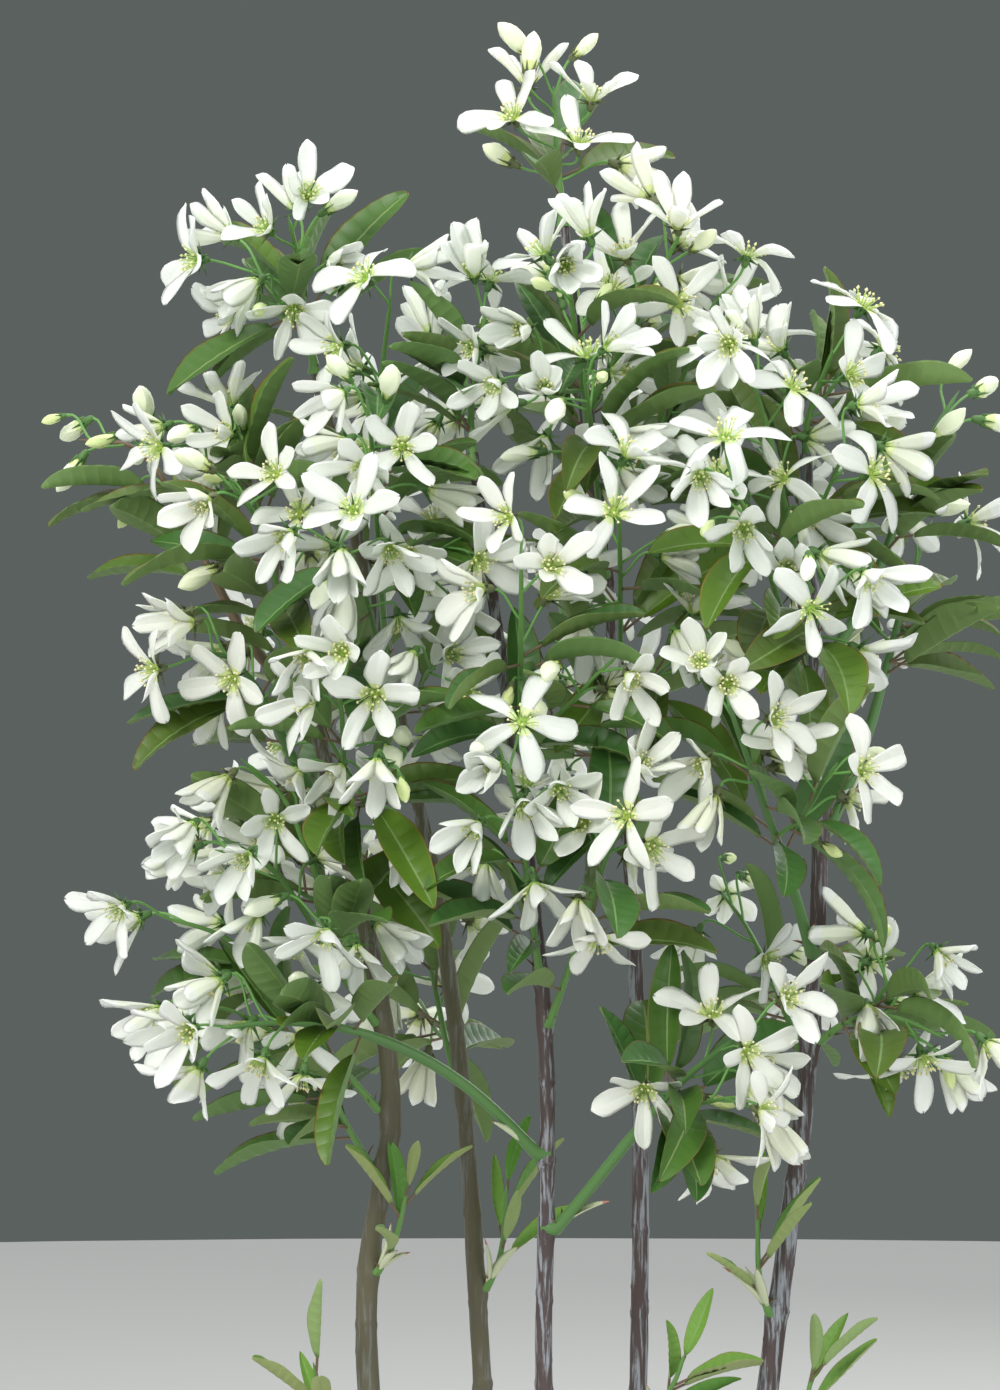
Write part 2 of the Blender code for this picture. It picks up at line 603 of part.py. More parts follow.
def grow_shrub():
    """Every stem's path, and what grows on them: each shoot's bough, twigs, flowers and leaves."""
    stems = {stem.name: stem_path(stem, STEM_STEPS) for stem in STEMS}
    room = Room()
    for stem in STEMS:
        room.keep_line(stems[stem.name], "limb", stem.thickness / 2)
    grown = []
    for shoot in (*SHOOTS, *TUFTS):
        start, leaving = shoot_start(shoot, stems)
        path = shoot_path(start, leaving, Vector(shoot.tip), shoot.nod)
        length = lengths_along(path)[-1]
        bare = shoot.bare / length
        bough = stretch_of(path, 0, bare, SHOOT_STEPS) if shoot.bare else None
        stalk = stretch_of(path, bare + JOINT_GAP / length if shoot.bare else 0, 1, SHOOT_STEPS)
        if bough:
            room.keep_line(bough, "limb", BOUGH_RADIUS)
        room.keep_line(stalk, shoot.name, STALK_RADIUS)
        grown.append(Growth(shoot, bough, [stalk], [], []))
    for growth in grown:
        rng = random.Random(growth.shoot.name + " forks")
        growth.twigs.extend(fork_paths(growth.shoot, growth.twigs[0], room, rng))
    for growth in grown:
        rng = random.Random(growth.shoot.name)
        shares = [1.0] + [FORK_SHARE] * (len(growth.twigs) - 1)
        for twig, share in zip(growth.twigs, shares):
            count = round(growth.shoot.flowers * share / sum(shares))
            buds = MANY_BUDS if growth.shoot.name == STILL_IN_BUD else FEW_BUDS
            grow_flowers(growth.shoot, twig, count, room, rng, SPARE, growth.flowers, buds)
    for growth in grown:
        rng = random.Random(growth.shoot.name + " leaves")
        young = not growth.shoot.flowers
        twig, count = growth.twigs[0], growth.shoot.leaves
        grow_leaves(growth.shoot, twig, count, room, rng, SPARE, growth.leaves, young)
    return stems, grown


# Solids

def material(name):
    colour, roughness = COLOURS[name]
    made = bpy.data.materials.get(name) or bpy.data.materials.new(name)
    made.use_nodes = True
    shader = made.node_tree.nodes["Principled BSDF"]
    shader.inputs["Base Color"].default_value = (*colour, 1)
    shader.inputs["Roughness"].default_value = roughness
    return made


def solid_object(name, points, faces, finish, collection):
    """A named mesh object in a collection, with its faces turned outwards."""
    mesh = bpy.data.meshes.new(name)
    shape = bmesh.new()
    corners = [shape.verts.new(p) for p in points]
    for face in faces:
        shape.faces.new([corners[k] for k in face])
    bmesh.ops.recalc_face_normals(shape, faces=shape.faces)
    shape.to_mesh(mesh)
    shape.free()
    mesh.materials.append(material(finish))
    made = bpy.data.objects.new(name, mesh)
    collection.objects.link(made)
    return made


def drop_crumbs(mesh):
    """Removes every closed shell of a mesh but the largest."""
    shape = bmesh.new()
    shape.from_mesh(mesh)
    loose = set(shape.verts)
    shells = []
    while loose:
        shell = {loose.pop()}
        edge = list(shell)
        while edge:
            for link in edge.pop().link_edges:
                for corner in link.verts:
                    if corner not in shell:
                        shell.add(corner)
                        edge.append(corner)
        loose -= shell
        shells.append(shell)
    largest = max(shells, key=len)
    bmesh.ops.delete(shape, geom=[corner for corner in shape.verts if corner not in largest])
    shape.to_mesh(mesh)
    shape.free()


def fuse(body, collection):
    """Joins a collection's solids to the body with one Boolean union, then removes them."""
    union = body.modifiers.new("union", "BOOLEAN")
    union.operation = "UNION"
    union.operand_type = "COLLECTION"
    union.collection = collection
    union.solver = "MANIFOLD"
    graph = bpy.context.evaluated_depsgraph_get()
    body.data = bpy.data.meshes.new_from_object(body.evaluated_get(graph))
    body.modifiers.remove(union)
    drop_crumbs(body.data)
    for part in list(collection.objects):
        bpy.data.objects.remove(part)
    bpy.data.collections.remove(collection)


def rooted_at(made, place, parent):
    """Moves an object's origin to a place without moving its shape, and parents it."""
    made.data.transform(Matrix.Translation(-Vector(place)))
    made.location = place
    made.parent = parent


def build_root_crown(stems, plant, scene_collection):
    """A low lobed crown with a flat underside, and the stub on it from which each stem rises."""
    points, faces = [], []
    for rise, spread in CROWN_PROFILE:
        for n in range(CROWN_SIDES):
            angle = 2 * math.pi * n / CROWN_SIDES
            lobe = 1 + LOBE_DEPTH * math.cos(CROWN_LOBES * angle + LOBE_TURN) * (1 - rise)
            reach = CROWN_RADIUS * spread * lobe
            x, y = reach * math.cos(angle), reach * CROWN_DEPTH * math.sin(angle)
            points.append(Vector((x, y, CROWN_HEIGHT * rise)))
    for k in range(len(CROWN_PROFILE) - 1):
        for n in range(CROWN_SIDES):
            a, b = k * CROWN_SIDES + n, k * CROWN_SIDES + (n + 1) % CROWN_SIDES
            faces.append((a, b, b + CROWN_SIDES, a + CROWN_SIDES))
    faces.append(tuple(range(CROWN_SIDES))[::-1])
    faces.append(tuple(range(len(points) - CROWN_SIDES, len(points))))
    crown = solid_object("root_crown", points, faces, "bark", scene_collection)
    stubs = bpy.data.collections.new("stubs")
    for stem in STEMS:
        path = stems[stem.name]
        stub = stretch_of(path, 0, share_at_height(path, STUB_TOP), STUB_STEPS)
        radius = stem_radius(stem, STUB_TOP)
        radii = [radius * (1 + (STUB_FLARE - 1) * (1 - k / STUB_STEPS) ** 2) for k in range(STUB_STEPS + 1)]
        solid_object(stem.name + "_stub", *tube_shape(stub, radii, STEM_SIDES), "bark", stubs)
    fuse(crown, stubs)
    crown.parent = plant


def build_stem(stem, path, plant, collection):
    cut = point_at(path, share_at_height(path, STUB_TOP + JOINT_GAP))[0]
    stretch = [cut] + [point for point in path if point.z > cut.z + JOINT_GAP]
    radii = [stem_radius(stem, point.z) for point in stretch]
    made = solid_object(stem.name, *tube_shape(stretch, radii, STEM_SIDES), "bark", collection)
    rooted_at(made, stretch[0], plant)


def build_bough(growth, plant, collection):
    radii = even_radii(BOUGH_RADIUS, BOUGH_TIP_RADIUS, len(growth.bough))
    name = growth.shoot.name + "_bough"
    made = solid_object(name, *tube_shape(growth.bough, radii, BOUGH_SIDES), "green_wood", collection)
    rooted_at(made, growth.bough[0], plant)


def build_mass(growth, plant, collection):
    """One shoot's stalk with all that it carries, fused."""
    shoot = growth.shoot
    leaf_finish = "leaf" if shoot.flowers else "young_leaf"
    parts = bpy.data.collections.new(shoot.name + "_parts")
    stalk, *forks = growth.twigs
    for k, fork in enumerate(forks):
        radii = even_radii(FORK_RADIUS, STALK_TIP_RADIUS, len(fork))
        solid_object(f"fork_{k}", *tube_shape(fork, radii, STALK_SIDES), "green_wood", parts)
    for k, flower in enumerate(growth.flowers):
        solid_object(f"flower_{k}", *blossom_shape(flower), "petal", parts)
    for k, leaf in enumerate(growth.leaves):
        solid_object(f"leaf_{k}", *leaf_shape(leaf), leaf_finish, parts)
    radii = even_radii(STALK_RADIUS, STALK_TIP_RADIUS, len(stalk))
    made = solid_object(shoot.name, *tube_shape(stalk, radii, STALK_SIDES), "green_wood", collection)
    fuse(made, parts)
    rooted_at(made, stalk[0], plant)


def main():
    for old in list(bpy.data.objects):
        bpy.data.objects.remove(old)
    collection = bpy.context.scene.collection
    plant = bpy.data.objects.new("shrub", None)
    collection.objects.link(plant)
    stems, grown = grow_shrub()
    build_root_crown(stems, plant, collection)
    for stem in STEMS:
        build_stem(stem, stems[stem.name], plant, collection)
    for growth in grown:
        if growth.bough:
            build_bough(growth, plant, collection)
        build_mass(growth, plant, collection)


if __name__ == "__main__":
    main()
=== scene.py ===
"""A young serviceberry shrub in blossom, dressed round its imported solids.

Metres, +Z up, the shrub's front looks along -Y. The limbs, stalks, leaves and flowers grow by the same
seeded rule as the solids, and then more of them fill the room that is left, so each piece lies where
the solids say. Every flower, bud and leaf is set on a point by Geometry Nodes and made real.
"""

import math
import random
from collections import namedtuple
from functools import lru_cache

import bmesh
import bpy
import numpy as np
from mathutils import Matrix, Vector, noise
from mathutils.bvhtree import BVHTree


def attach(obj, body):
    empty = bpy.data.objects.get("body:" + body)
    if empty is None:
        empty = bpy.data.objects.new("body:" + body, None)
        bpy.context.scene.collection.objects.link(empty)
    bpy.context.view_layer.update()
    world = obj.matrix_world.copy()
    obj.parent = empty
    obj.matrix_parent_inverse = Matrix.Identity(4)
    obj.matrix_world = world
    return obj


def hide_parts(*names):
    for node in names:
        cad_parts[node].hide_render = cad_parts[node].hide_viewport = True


bl_info = {
    "name": "Serviceberry Shrub",
    "version": (1, 0, 0),
    "blender": (4, 5, 0),
    "location": "View3D > Sidebar > Shrub",
    "description": "Bark, shoots, leaves and blossom of a young serviceberry shrub",
    "category": "Object",
}

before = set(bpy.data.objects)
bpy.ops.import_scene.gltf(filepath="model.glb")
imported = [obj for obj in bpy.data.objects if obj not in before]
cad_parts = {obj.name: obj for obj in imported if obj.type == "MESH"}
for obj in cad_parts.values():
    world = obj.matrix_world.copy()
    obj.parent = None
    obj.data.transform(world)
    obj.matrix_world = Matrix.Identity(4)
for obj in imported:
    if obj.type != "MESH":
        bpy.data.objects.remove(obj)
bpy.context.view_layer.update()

# Stems and root crown
CROWN_RADIUS = 0.040
CROWN_DEPTH = 0.78
CROWN_HEIGHT = 0.017
CROWN_LOBES = 5
LOBE_DEPTH = 0.10
LOBE_TURN = 0.6
STUB_TOP = 0.034
STUB_FLARE = 1.5
STEM_STEPS = 5
STEM_ROOT = 0.004
JOINT_GAP = 0.0003

# Shoots
LEAVING_ANGLE = math.radians(42)
SHOOT_STEPS = 4
BOUGH_RADIUS = 0.0017
STALK_RADIUS = 0.0012
STALK_TIP_RADIUS = 0.0009
FORK_ANGLE = math.radians(52)
FORK_FROM = 0.24
FORK_STEP = 0.16
FORK_SHARE = 0.75
FORK_LENGTH = 0.055
FORK_ROOM = 0.010
FORK_BEND = 0.4
FORK_NOD = 0.5

# How far a curve keeps the direction in which it leaves, and the one in which it arrives
KEEPS_LEAVING = 0.42
KEEPS_ARRIVING = 0.36
UPRIGHT = 0.05

# The leafy crown's middle, and how far it reaches from there
MIDDLE_X = -0.010
MIDDLE_Z = 0.470
CROWN_REACH = 0.150

# Flowers
PETALS = 5
PETAL_LENGTH = 0.0172
PETAL_TIP = 0.0030
PETAL_NOTCH = 0.24
WIDE_OPEN = math.radians(8)
HALF_CLOSED = math.radians(30)
NEARLY_CLOSED = math.radians(64)
OPENNESS = 1.6
FLOWER_HEART = 0.0016
CALYX_DEPTH = 0.0030
CALYX_RADIUS = 0.0013
PEDICEL_LENGTH = 0.0150
PEDICEL_RADIUS = 0.0006
PEDICEL_FOOT_RADIUS = 0.0004
PEDICEL_SHARE = 0.2
BARE_LENGTH = 0.0048
BUD_LENGTH = 0.0120
BUD_RADIUS = 0.0031
BUD_BELLY = 0.4
BUD_TIP = 0.25
FLOWER_RANGE = (0.9, 1.06)
PEDICEL_RANGE = (0.8, 1.25)
FLOWERING_LENGTH = 0.050
FLOWERING_SHARE = 0.72
TIP_SHARE = 0.04
FEW_BUDS = 0.12
MANY_BUDS = 1.0
STILL_IN_BUD = "far_left"
GOLDEN_ANGLE = math.radians(137.5)

# Leaves
LEAF_LENGTH = 0.0370
LEAF_WIDTH = 0.43
LEAF_THICKNESS = 0.0008
PETIOLE_LENGTH = 0.0080
YOUNG_LEAF_LENGTH = 0.0260
YOUNG_LEAF_WIDTH = 0.30
LEAFY_LENGTH = 0.045
LEAFY_FROM = 0.1
LEAFY_TO = 0.45
LEAF_OVERLAP = 0.7
LEAF_RANGE = (0.78, 1.12)
LEAF_OUTLINE = ((0.22, 1, 0.42), (0.62, 1, 0.46), (1.0, 0, 0.46), (0.62, -1, 0.46), (0.22, -1, 0.42))
LEAF_RIDGE = 0.42
LEAF_FOOT = 0.4

# How flowers and leaves set out from a twig, with leans in degrees. Each try is looser than the last,
# and a spread is how far chance may then take a thing off its own value.
TIGHTEST = 0.15
AGE_SPREAD = 0.3
TURN_SPREAD = 2
FLOWER_LEAN = 78
LEAN_LOST = 55
FLOWER_LEAN_SPREAD = 0.3
LEAF_LEAN = 62
YOUNG_LEAF_LEAN = 26
LEAF_LEAN_SPREAD = 0.35
LEAF_OUTWARD = 0.25
LEAF_RISE = (-0.2, 0.25)
LIGHT_SPREAD = (-0.6, 0.6)
LIGHT_OUTWARD = 0.5

# What draws a flower's face: its own pedicel, its neighbours, the light outside, chance and its weight
FACING_AHEAD = 0.45
FACING_APART = 0.45
FACING_OUTWARD = 0.55
FACING_CHANCE = 0.2
FACING_LOOSE = 0.15
FACING_NOD = 0.5
FACING_LEAST = 0.3

# The room that each thing keeps round itself, and how often a place for it is sought
SPARE = 0.0006
TRIES = 16

Stem = namedtuple("Stem", "name foot knee waist tip thickness slimness")
Shoot = namedtuple("Shoot", "name stem height tip bare forks flowers leaves nod")

# A stem passes through its foot on the crown, its knee and its waist, and is thickness wide at the foot.
STEMS = (
    Stem(
        "stem_left", (-0.026, -0.006), (-0.0570, -0.015, 0.262), (-0.0512, -0.019, 0.362),
        (-0.086, -0.012, 0.512), 0.0094, 0.0040,
    ),
    Stem(
        "stem_left_back", (-0.013, 0.010), (-0.0235, 0.022, 0.262), (-0.0370, 0.026, 0.405),
        (-0.074, 0.008, 0.568), 0.0078, 0.0034,
    ),
    Stem(
        "stem_middle", (-0.003, -0.013), (-0.0050, -0.026, 0.262), (-0.0055, -0.034, 0.380),
        (-0.026, -0.024, 0.540), 0.0069, 0.0032,
    ),
    Stem(
        "stem_tall", (0.011, 0.009), (0.0240, 0.014, 0.262), (0.0200, 0.016, 0.440),
        (0.001, 0.002, 0.612), 0.0075, 0.0028,
    ),
    Stem(
        "stem_right", (0.026, -0.004), (0.0620, -0.008, 0.262), (0.0768, -0.012, 0.402),
        (0.073, -0.016, 0.540), 0.0092, 0.0036,
    ),
)

# A shoot leaves its stem at a height and ends at its tip. A height of zero continues the stem's own tip,
# bare is the length of the bough under the leaves, and nod turns the raceme down, or up where negative.
SHOOTS = (
    Shoot("crest", "stem_tall", 0, (-0.002, -0.002, 0.651), 0, 0, 9, 1, -0.6),
    Shoot("crest_low", "stem_tall", 0.548, (0.001, -0.046, 0.600), 0, 1, 7, 3, -0.3),
    Shoot("crest_right", "stem_tall", 0.556, (0.034, -0.030, 0.603), 0, 1, 7, 3, -0.2),
    Shoot("crest_front", "stem_tall", 0.505, (0.006, -0.070, 0.562), 0, 0, 6, 4, 0.2),
    Shoot("shoulder", "stem_tall", 0.520, (0.047, -0.012, 0.588), 0, 0, 5, 3, 0.0),
    Shoot("high_left", "stem_left_back", 0, (-0.081, -0.012, 0.611), 0, 1, 11, 4, 0.4),
    Shoot("high_middle", "stem_middle", 0, (-0.022, -0.030, 0.583), 0, 1, 7, 3, 0.1),
    Shoot("high_inner", "stem_left_back", 0.520, (-0.050, -0.034, 0.586), 0, 0, 5, 3, 0.0),
    Shoot("left_face", "stem_left_back", 0.480, (-0.056, -0.078, 0.553), 0, 1, 8, 3, 0.3),
    Shoot("left_crest", "stem_left", 0, (-0.112, -0.020, 0.546), 0, 1, 8, 3, 0.7),
    Shoot("far_left", "stem_left", 0.470, (-0.146, 0.018, 0.546), 0.030, 0, 6, 2, 0.9),
    Shoot("left_front", "stem_left", 0.468, (-0.096, -0.066, 0.530), 0, 0, 5, 3, 0.6),
    Shoot("left_middle", "stem_left_back", 0.440, (-0.068, -0.082, 0.513), 0, 1, 8, 3, 0.7),
    Shoot("inner_front", "stem_middle", 0.440, (-0.012, -0.092, 0.506), 0, 1, 7, 4, 0.1),
    Shoot("middle_front", "stem_tall", 0.452, (0.016, -0.078, 0.524), 0, 1, 7, 4, 0.1),
    Shoot("right_high", "stem_right", 0.500, (0.054, -0.058, 0.562), 0, 1, 8, 4, 0.3),
    Shoot("right_crest", "stem_right", 0, (0.080, -0.030, 0.570), 0, 2, 9, 4, 0.2),
    Shoot("far_right", "stem_right", 0.478, (0.120, 0.002, 0.560), 0.028, 0, 4, 1, 0.3),
    Shoot("right_front", "stem_right", 0.462, (0.044, -0.088, 0.533), 0, 1, 9, 4, 0.4),
    Shoot("right_outer", "stem_right", 0.428, (0.114, 0.028, 0.522), 0.045, 0, 3, 5, 0.2),
    Shoot("left_low_front", "stem_left", 0.432, (-0.107, -0.056, 0.480), 0.024, 0, 6, 4, 0.9),
    Shoot("left_inner_low", "stem_left", 0.418, (-0.064, -0.084, 0.468), 0, 1, 8, 3, 0.6),
    Shoot("heart", "stem_right", 0.392, (0.046, -0.090, 0.468), 0.030, 1, 7, 4, 0.0),
    Shoot("middle_low", "stem_middle", 0.386, (-0.016, -0.090, 0.449), 0, 0, 7, 4, 0.4),
    Shoot("middle_low_right", "stem_middle", 0.372, (0.022, -0.092, 0.439), 0, 0, 6, 3, 0.4),
    Shoot("left_low_high", "stem_left", 0.372, (-0.100, -0.066, 0.424), 0, 1, 8, 3, 0.7),
    Shoot("left_low_outer", "stem_left", 0.346, (-0.119, -0.036, 0.404), 0, 1, 8, 3, 0.6),
    Shoot("left_shoulder", "stem_left", 0.392, (-0.094, -0.040, 0.450), 0, 1, 6, 3, 0.6),
    Shoot("left_low", "stem_middle", 0.334, (-0.098, -0.072, 0.373), 0.062, 0, 7, 5, 0.5),
    Shoot("left_foot", "stem_left", 0.328, (-0.086, -0.022, 0.380), 0, 0, 3, 4, 0.4),
    Shoot("right_low_outer", "stem_right", 0.366, (0.112, -0.038, 0.368), 0, 2, 10, 4, 0.5),
    Shoot("right_low", "stem_middle", 0.312, (0.056, -0.078, 0.374), 0.040, 1, 8, 4, 0.3),
    Shoot("right_inner", "stem_right", 0.360, (0.050, 0.038, 0.408), 0, 0, 5, 4, 0.3),
    Shoot("back_crest", "stem_tall", 0.530, (0.006, 0.052, 0.596), 0, 1, 5, 3, 0.0),
    Shoot("back_left_high", "stem_left_back", 0.486, (-0.056, 0.066, 0.560), 0, 1, 5, 3, 0.2),
    Shoot("back_right_high", "stem_right", 0.470, (0.066, 0.060, 0.545), 0, 1, 5, 3, 0.2),
    Shoot("back_left", "stem_left_back", 0.410, (-0.098, 0.060, 0.486), 0, 1, 5, 3, 0.4),
    Shoot("back_middle", "stem_tall", 0.430, (0.000, 0.092, 0.498), 0, 1, 5, 3, 0.3),
    Shoot("back_low", "stem_left_back", 0.346, (-0.050, 0.086, 0.412), 0, 1, 5, 3, 0.5),
)

# A tuft of young leaves that opens from a bud on a bare stem.
TUFTS = (
    Shoot("tuft_left", "stem_left", 0.298, (-0.0450, -0.030, 0.326), 0, 0, 0, 4, -0.8),
    Shoot("tuft_left_back", "stem_left_back", 0.288, (-0.0160, 0.016, 0.320), 0, 0, 0, 4, -0.8),
    Shoot("tuft_low_left", "stem_left", 0.236, (-0.0730, -0.030, 0.272), 0, 0, 0, 4, -0.8),
    Shoot("tuft_low_middle", "stem_middle", 0.222, (-0.0250, -0.040, 0.252), 0, 0, 0, 4, -0.8),
    Shoot("tuft_low_right", "stem_tall", 0.246, (0.0370, -0.010, 0.272), 0, 0, 0, 4, -0.8),
    Shoot("tuft_outer_right", "stem_right", 0.242, (0.0760, -0.014, 0.272), 0, 0, 0, 4, -0.8),
    Shoot("tuft_right", "stem_right", 0.284, (0.0580, -0.022, 0.318), 0, 0, 0, 4, -0.4),
)

# Paths

def smooth_path(points, count):
    """Points along one smooth curve through the given ones, in count even steps of each stretch."""
    ends = [2 * points[0] - points[1], *points, 2 * points[-1] - points[-2]]
    path = [points[0]]
    for before, start, end, after in zip(ends, ends[1:], ends[2:], ends[3:]):
        leave, arrive = (end - before) / 2, (after - start) / 2
        for step in range(1, count + 1):
            t = step / count
            path.append(
                start * (1 + 2 * t) * (1 - t) ** 2
                + leave * t * (1 - t) ** 2
                + end * t * t * (3 - 2 * t)
                - arrive * t * t * (1 - t)
            )
    return path


def lengths_along(path):
    """How far along the path each of its points lies."""
    runs = [0.0]
    for a, b in zip(path, path[1:]):
        runs.append(runs[-1] + (b - a).length)
    return runs


def point_at(path, share):
    """The point and the direction at a share of the path's length."""
    runs = lengths_along(path)
    wanted = min(max(share, 0.0), 1.0) * runs[-1]
    for k in range(1, len(path)):
        if wanted <= runs[k] or k == len(path) - 1:
            step = path[k] - path[k - 1]
            t = (wanted - runs[k - 1]) / (runs[k] - runs[k - 1])
            return path[k - 1] + step * t, step.normalized()


def stretch_of(path, start, end, count):
    """The part of the path between two shares of its length, in count even steps."""
    return [point_at(path, start + (end - start) * k / count)[0] for k in range(count + 1)]


def share_at_height(path, height):
    """The share of a rising path's length at which it reaches the height."""
    runs = lengths_along(path)
    for k in range(1, len(path)):
        if path[k].z >= height:
            t = (height - path[k - 1].z) / (path[k].z - path[k - 1].z)
            return (runs[k - 1] + t * (runs[k] - runs[k - 1])) / runs[-1]
    return 1.0


def curve_between(start, first, second, end, steps):
    """A curve in even steps from start towards first, and past second to its end."""
    path = []
    for step in range(steps + 1):
        t = step / steps
        s = 1 - t
        path.append(start * s**3 + first * 3 * s * s * t + second * 3 * s * t * t + end * t**3)
    return path


def shoot_path(start, leaving, tip, nod, steps=12):
    """A curve that sets out in the leaving direction and comes to its tip turned down by nod."""
    span = tip - start
    arriving = (span.normalized() - Vector((0, 0, nod))).normalized()
    first = start + leaving * span.length * KEEPS_LEAVING
    second = tip - arriving * span.length * KEEPS_ARRIVING
    return curve_between(start, first, second, tip, steps)


# Directions

def across(direction):
    """Two directions square to this one and to each other."""
    side = direction.cross(Vector((0, 0, 1)))
    if side.length < UPRIGHT:
        side = direction.cross(Vector((0, 1, 0)))
    side.normalize()
    return side, direction.cross(side).normalized()


def way_round(side, other, angle):
    """The direction at an angle from the first of two square directions towards the other."""
    return side * math.cos(angle) + other * math.sin(angle)


def level_way(angle):
    """The level direction at an angle from +X."""
    return Vector((math.cos(angle), math.sin(angle), 0))


def chance_way(rng):
    """Any way at all."""
    return Vector((rng.uniform(-1, 1), rng.uniform(-1, 1), rng.uniform(-1, 1)))


def ring_axes(path):
    """At each of a path's points, two directions square to it that turn with it as little as they can."""
    axes = []
    side, _ = across((path[1] - path[0]).normalized())
    for k in range(len(path)):
        ahead = (path[min(k + 1, len(path) - 1)] - path[max(k - 1, 0)]).normalized()
        side = (side - ahead * side.dot(ahead)).normalized()
        axes.append((side, ahead.cross(side)))
    return axes


# Shapes, each as points and faces. Spare makes a shape that much bigger all round, and
# bare leaves out that length of its stem's foot, for the tests of what stands clear of what.

def ring_faces(rings, sides):
    """The faces between rings of points that follow one another."""
    corners = [
        (k * sides + n, k * sides + (n + 1) % sides)
        for k in range(rings - 1)
        for n in range(sides)
    ]
    return [(a, b, b + sides, a + sides) for a, b in corners]


def fan(first, count, tip):
    """The faces from a ring of points, of which this is the first, to a tip."""
    return [(first + n, first + (n + 1) % count, tip) for n in range(count)]


def tube_shape(path, radii, sides):
    """A closed tube of flat sides along a path."""
    points = []
    for middle, radius, (side, other) in zip(path, radii, ring_axes(path)):
        for n in range(sides):
            points.append(middle + way_round(side, other, 2 * math.pi * n / sides) * radius)
    ends = [tuple(range(sides))[::-1], tuple(range(len(points) - sides, len(points)))]
    return points, ring_faces(len(path), sides) + ends


def even_radii(start, end, count):
    return [start + (end - start) * k / (count - 1) for k in range(count)]


def flower_shape(flower, spare=0.0, bare=0.0):
    """Petals that spread or half close round a heart, whose underside narrows to the pedicel."""
    side, other = across(flower.facing)

    def place(angle, reach, lift, sideways=0.0):
        way = way_round(side, other, angle)
        return flower.centre + way * reach + flower.facing * lift + flower.facing.cross(way) * sideways

    reach, rise = math.cos(flower.lift) * flower.size, math.sin(flower.lift) * flower.size
    tips = (0,) if flower.lift > HALF_CLOSED else (-PETAL_TIP, PETAL_TIP)
    points = []
    for k in range(PETALS):
        middle = flower.roll + 2 * math.pi * k / PETALS
        notch = reach * PETAL_NOTCH + spare
        points.append(place(middle - math.pi / PETALS, notch, rise * PETAL_NOTCH))
        for tip in tips:
            points.append(place(middle, reach + spare, rise, tip))
    around = len(points)
    points.append(flower.centre + flower.facing * (FLOWER_HEART + rise * PETAL_NOTCH + spare * 2))
    calyx = [
        place(flower.roll + 2 * math.pi * n / 3, CALYX_RADIUS + spare, -CALYX_DEPTH - spare)
        for n in range(3)
    ]
    foot = flower.root + (flower.centre - flower.root).normalized() * bare
    under = flower.centre - flower.facing * (CALYX_DEPTH + spare)
    points += calyx
    points += [foot + (corner - under) * PEDICEL_SHARE for corner in calyx]
    top, ring, base = around, around + 1, around + 4
    faces = [(k, (k + 1) % around, top) for k in range(around)]
    for n in range(3):
        first, last = round(around * n / 3), round(around * (n + 1) / 3)
        for k in range(first, last):
            faces.append(((k + 1) % around, k, ring + n))
        faces.append((last % around, ring + n, ring + (n + 1) % 3))
        faces.append((ring + n, base + n, base + (n + 1) % 3, ring + (n + 1) % 3))
    faces.append((base, base + 1, base + 2))
    return points, faces


def bud_shape(flower, spare=0.0, bare=0.0):
    """A plump closed bud on its pedicel."""
    foot = flower.root + (flower.centre - flower.root).normalized() * bare
    neck = flower.centre - flower.facing * CALYX_DEPTH
    belly = flower.centre + flower.facing * BUD_LENGTH * BUD_BELLY
    tip = flower.centre + flower.facing * (BUD_LENGTH + spare)
    radii = [PEDICEL_FOOT_RADIUS, PEDICEL_RADIUS, BUD_RADIUS, BUD_RADIUS * BUD_TIP]
    return tube_shape([foot, neck, belly, tip], [radius + spare for radius in radii], 3)


def leaf_shape(leaf, spare=0.0, bare=0.0):
    """A pointed leaf, thickest along its midrib, with a narrow foot."""
    along = leaf.direction
    sideways = leaf.face.cross(along).normalized()
    start = leaf.root + along * PETIOLE_LENGTH * leaf.length / LEAF_LENGTH
    points = [leaf.root + along * (bare - STALK_TIP_RADIUS * LEAF_FOOT)]
    for share, side, half in LEAF_OUTLINE:
        breadth = half * leaf.width + spare
        reach = leaf.length * share + spare * (1 - abs(side))
        points.append(start + along * reach + sideways * side * breadth)
    middle = start + along * leaf.length * LEAF_RIDGE
    for side in (1, -1):
        points.append(middle + leaf.face * side * (LEAF_THICKNESS + spare))
    count = len(points) - 2
    faces = [(k, (k + 1) % count, count) for k in range(count)]
    faces += [((k + 1) % count, k, count + 1) for k in range(count)]
    return points, faces


def blossom_shape(flower, spare=0.0, bare=0.0):
    return bud_shape(flower, spare, bare) if flower.bud else flower_shape(flower, spare, bare)


# Room: a mass keeps to what lies nearest its own stalk, and nothing that grows may touch another thing

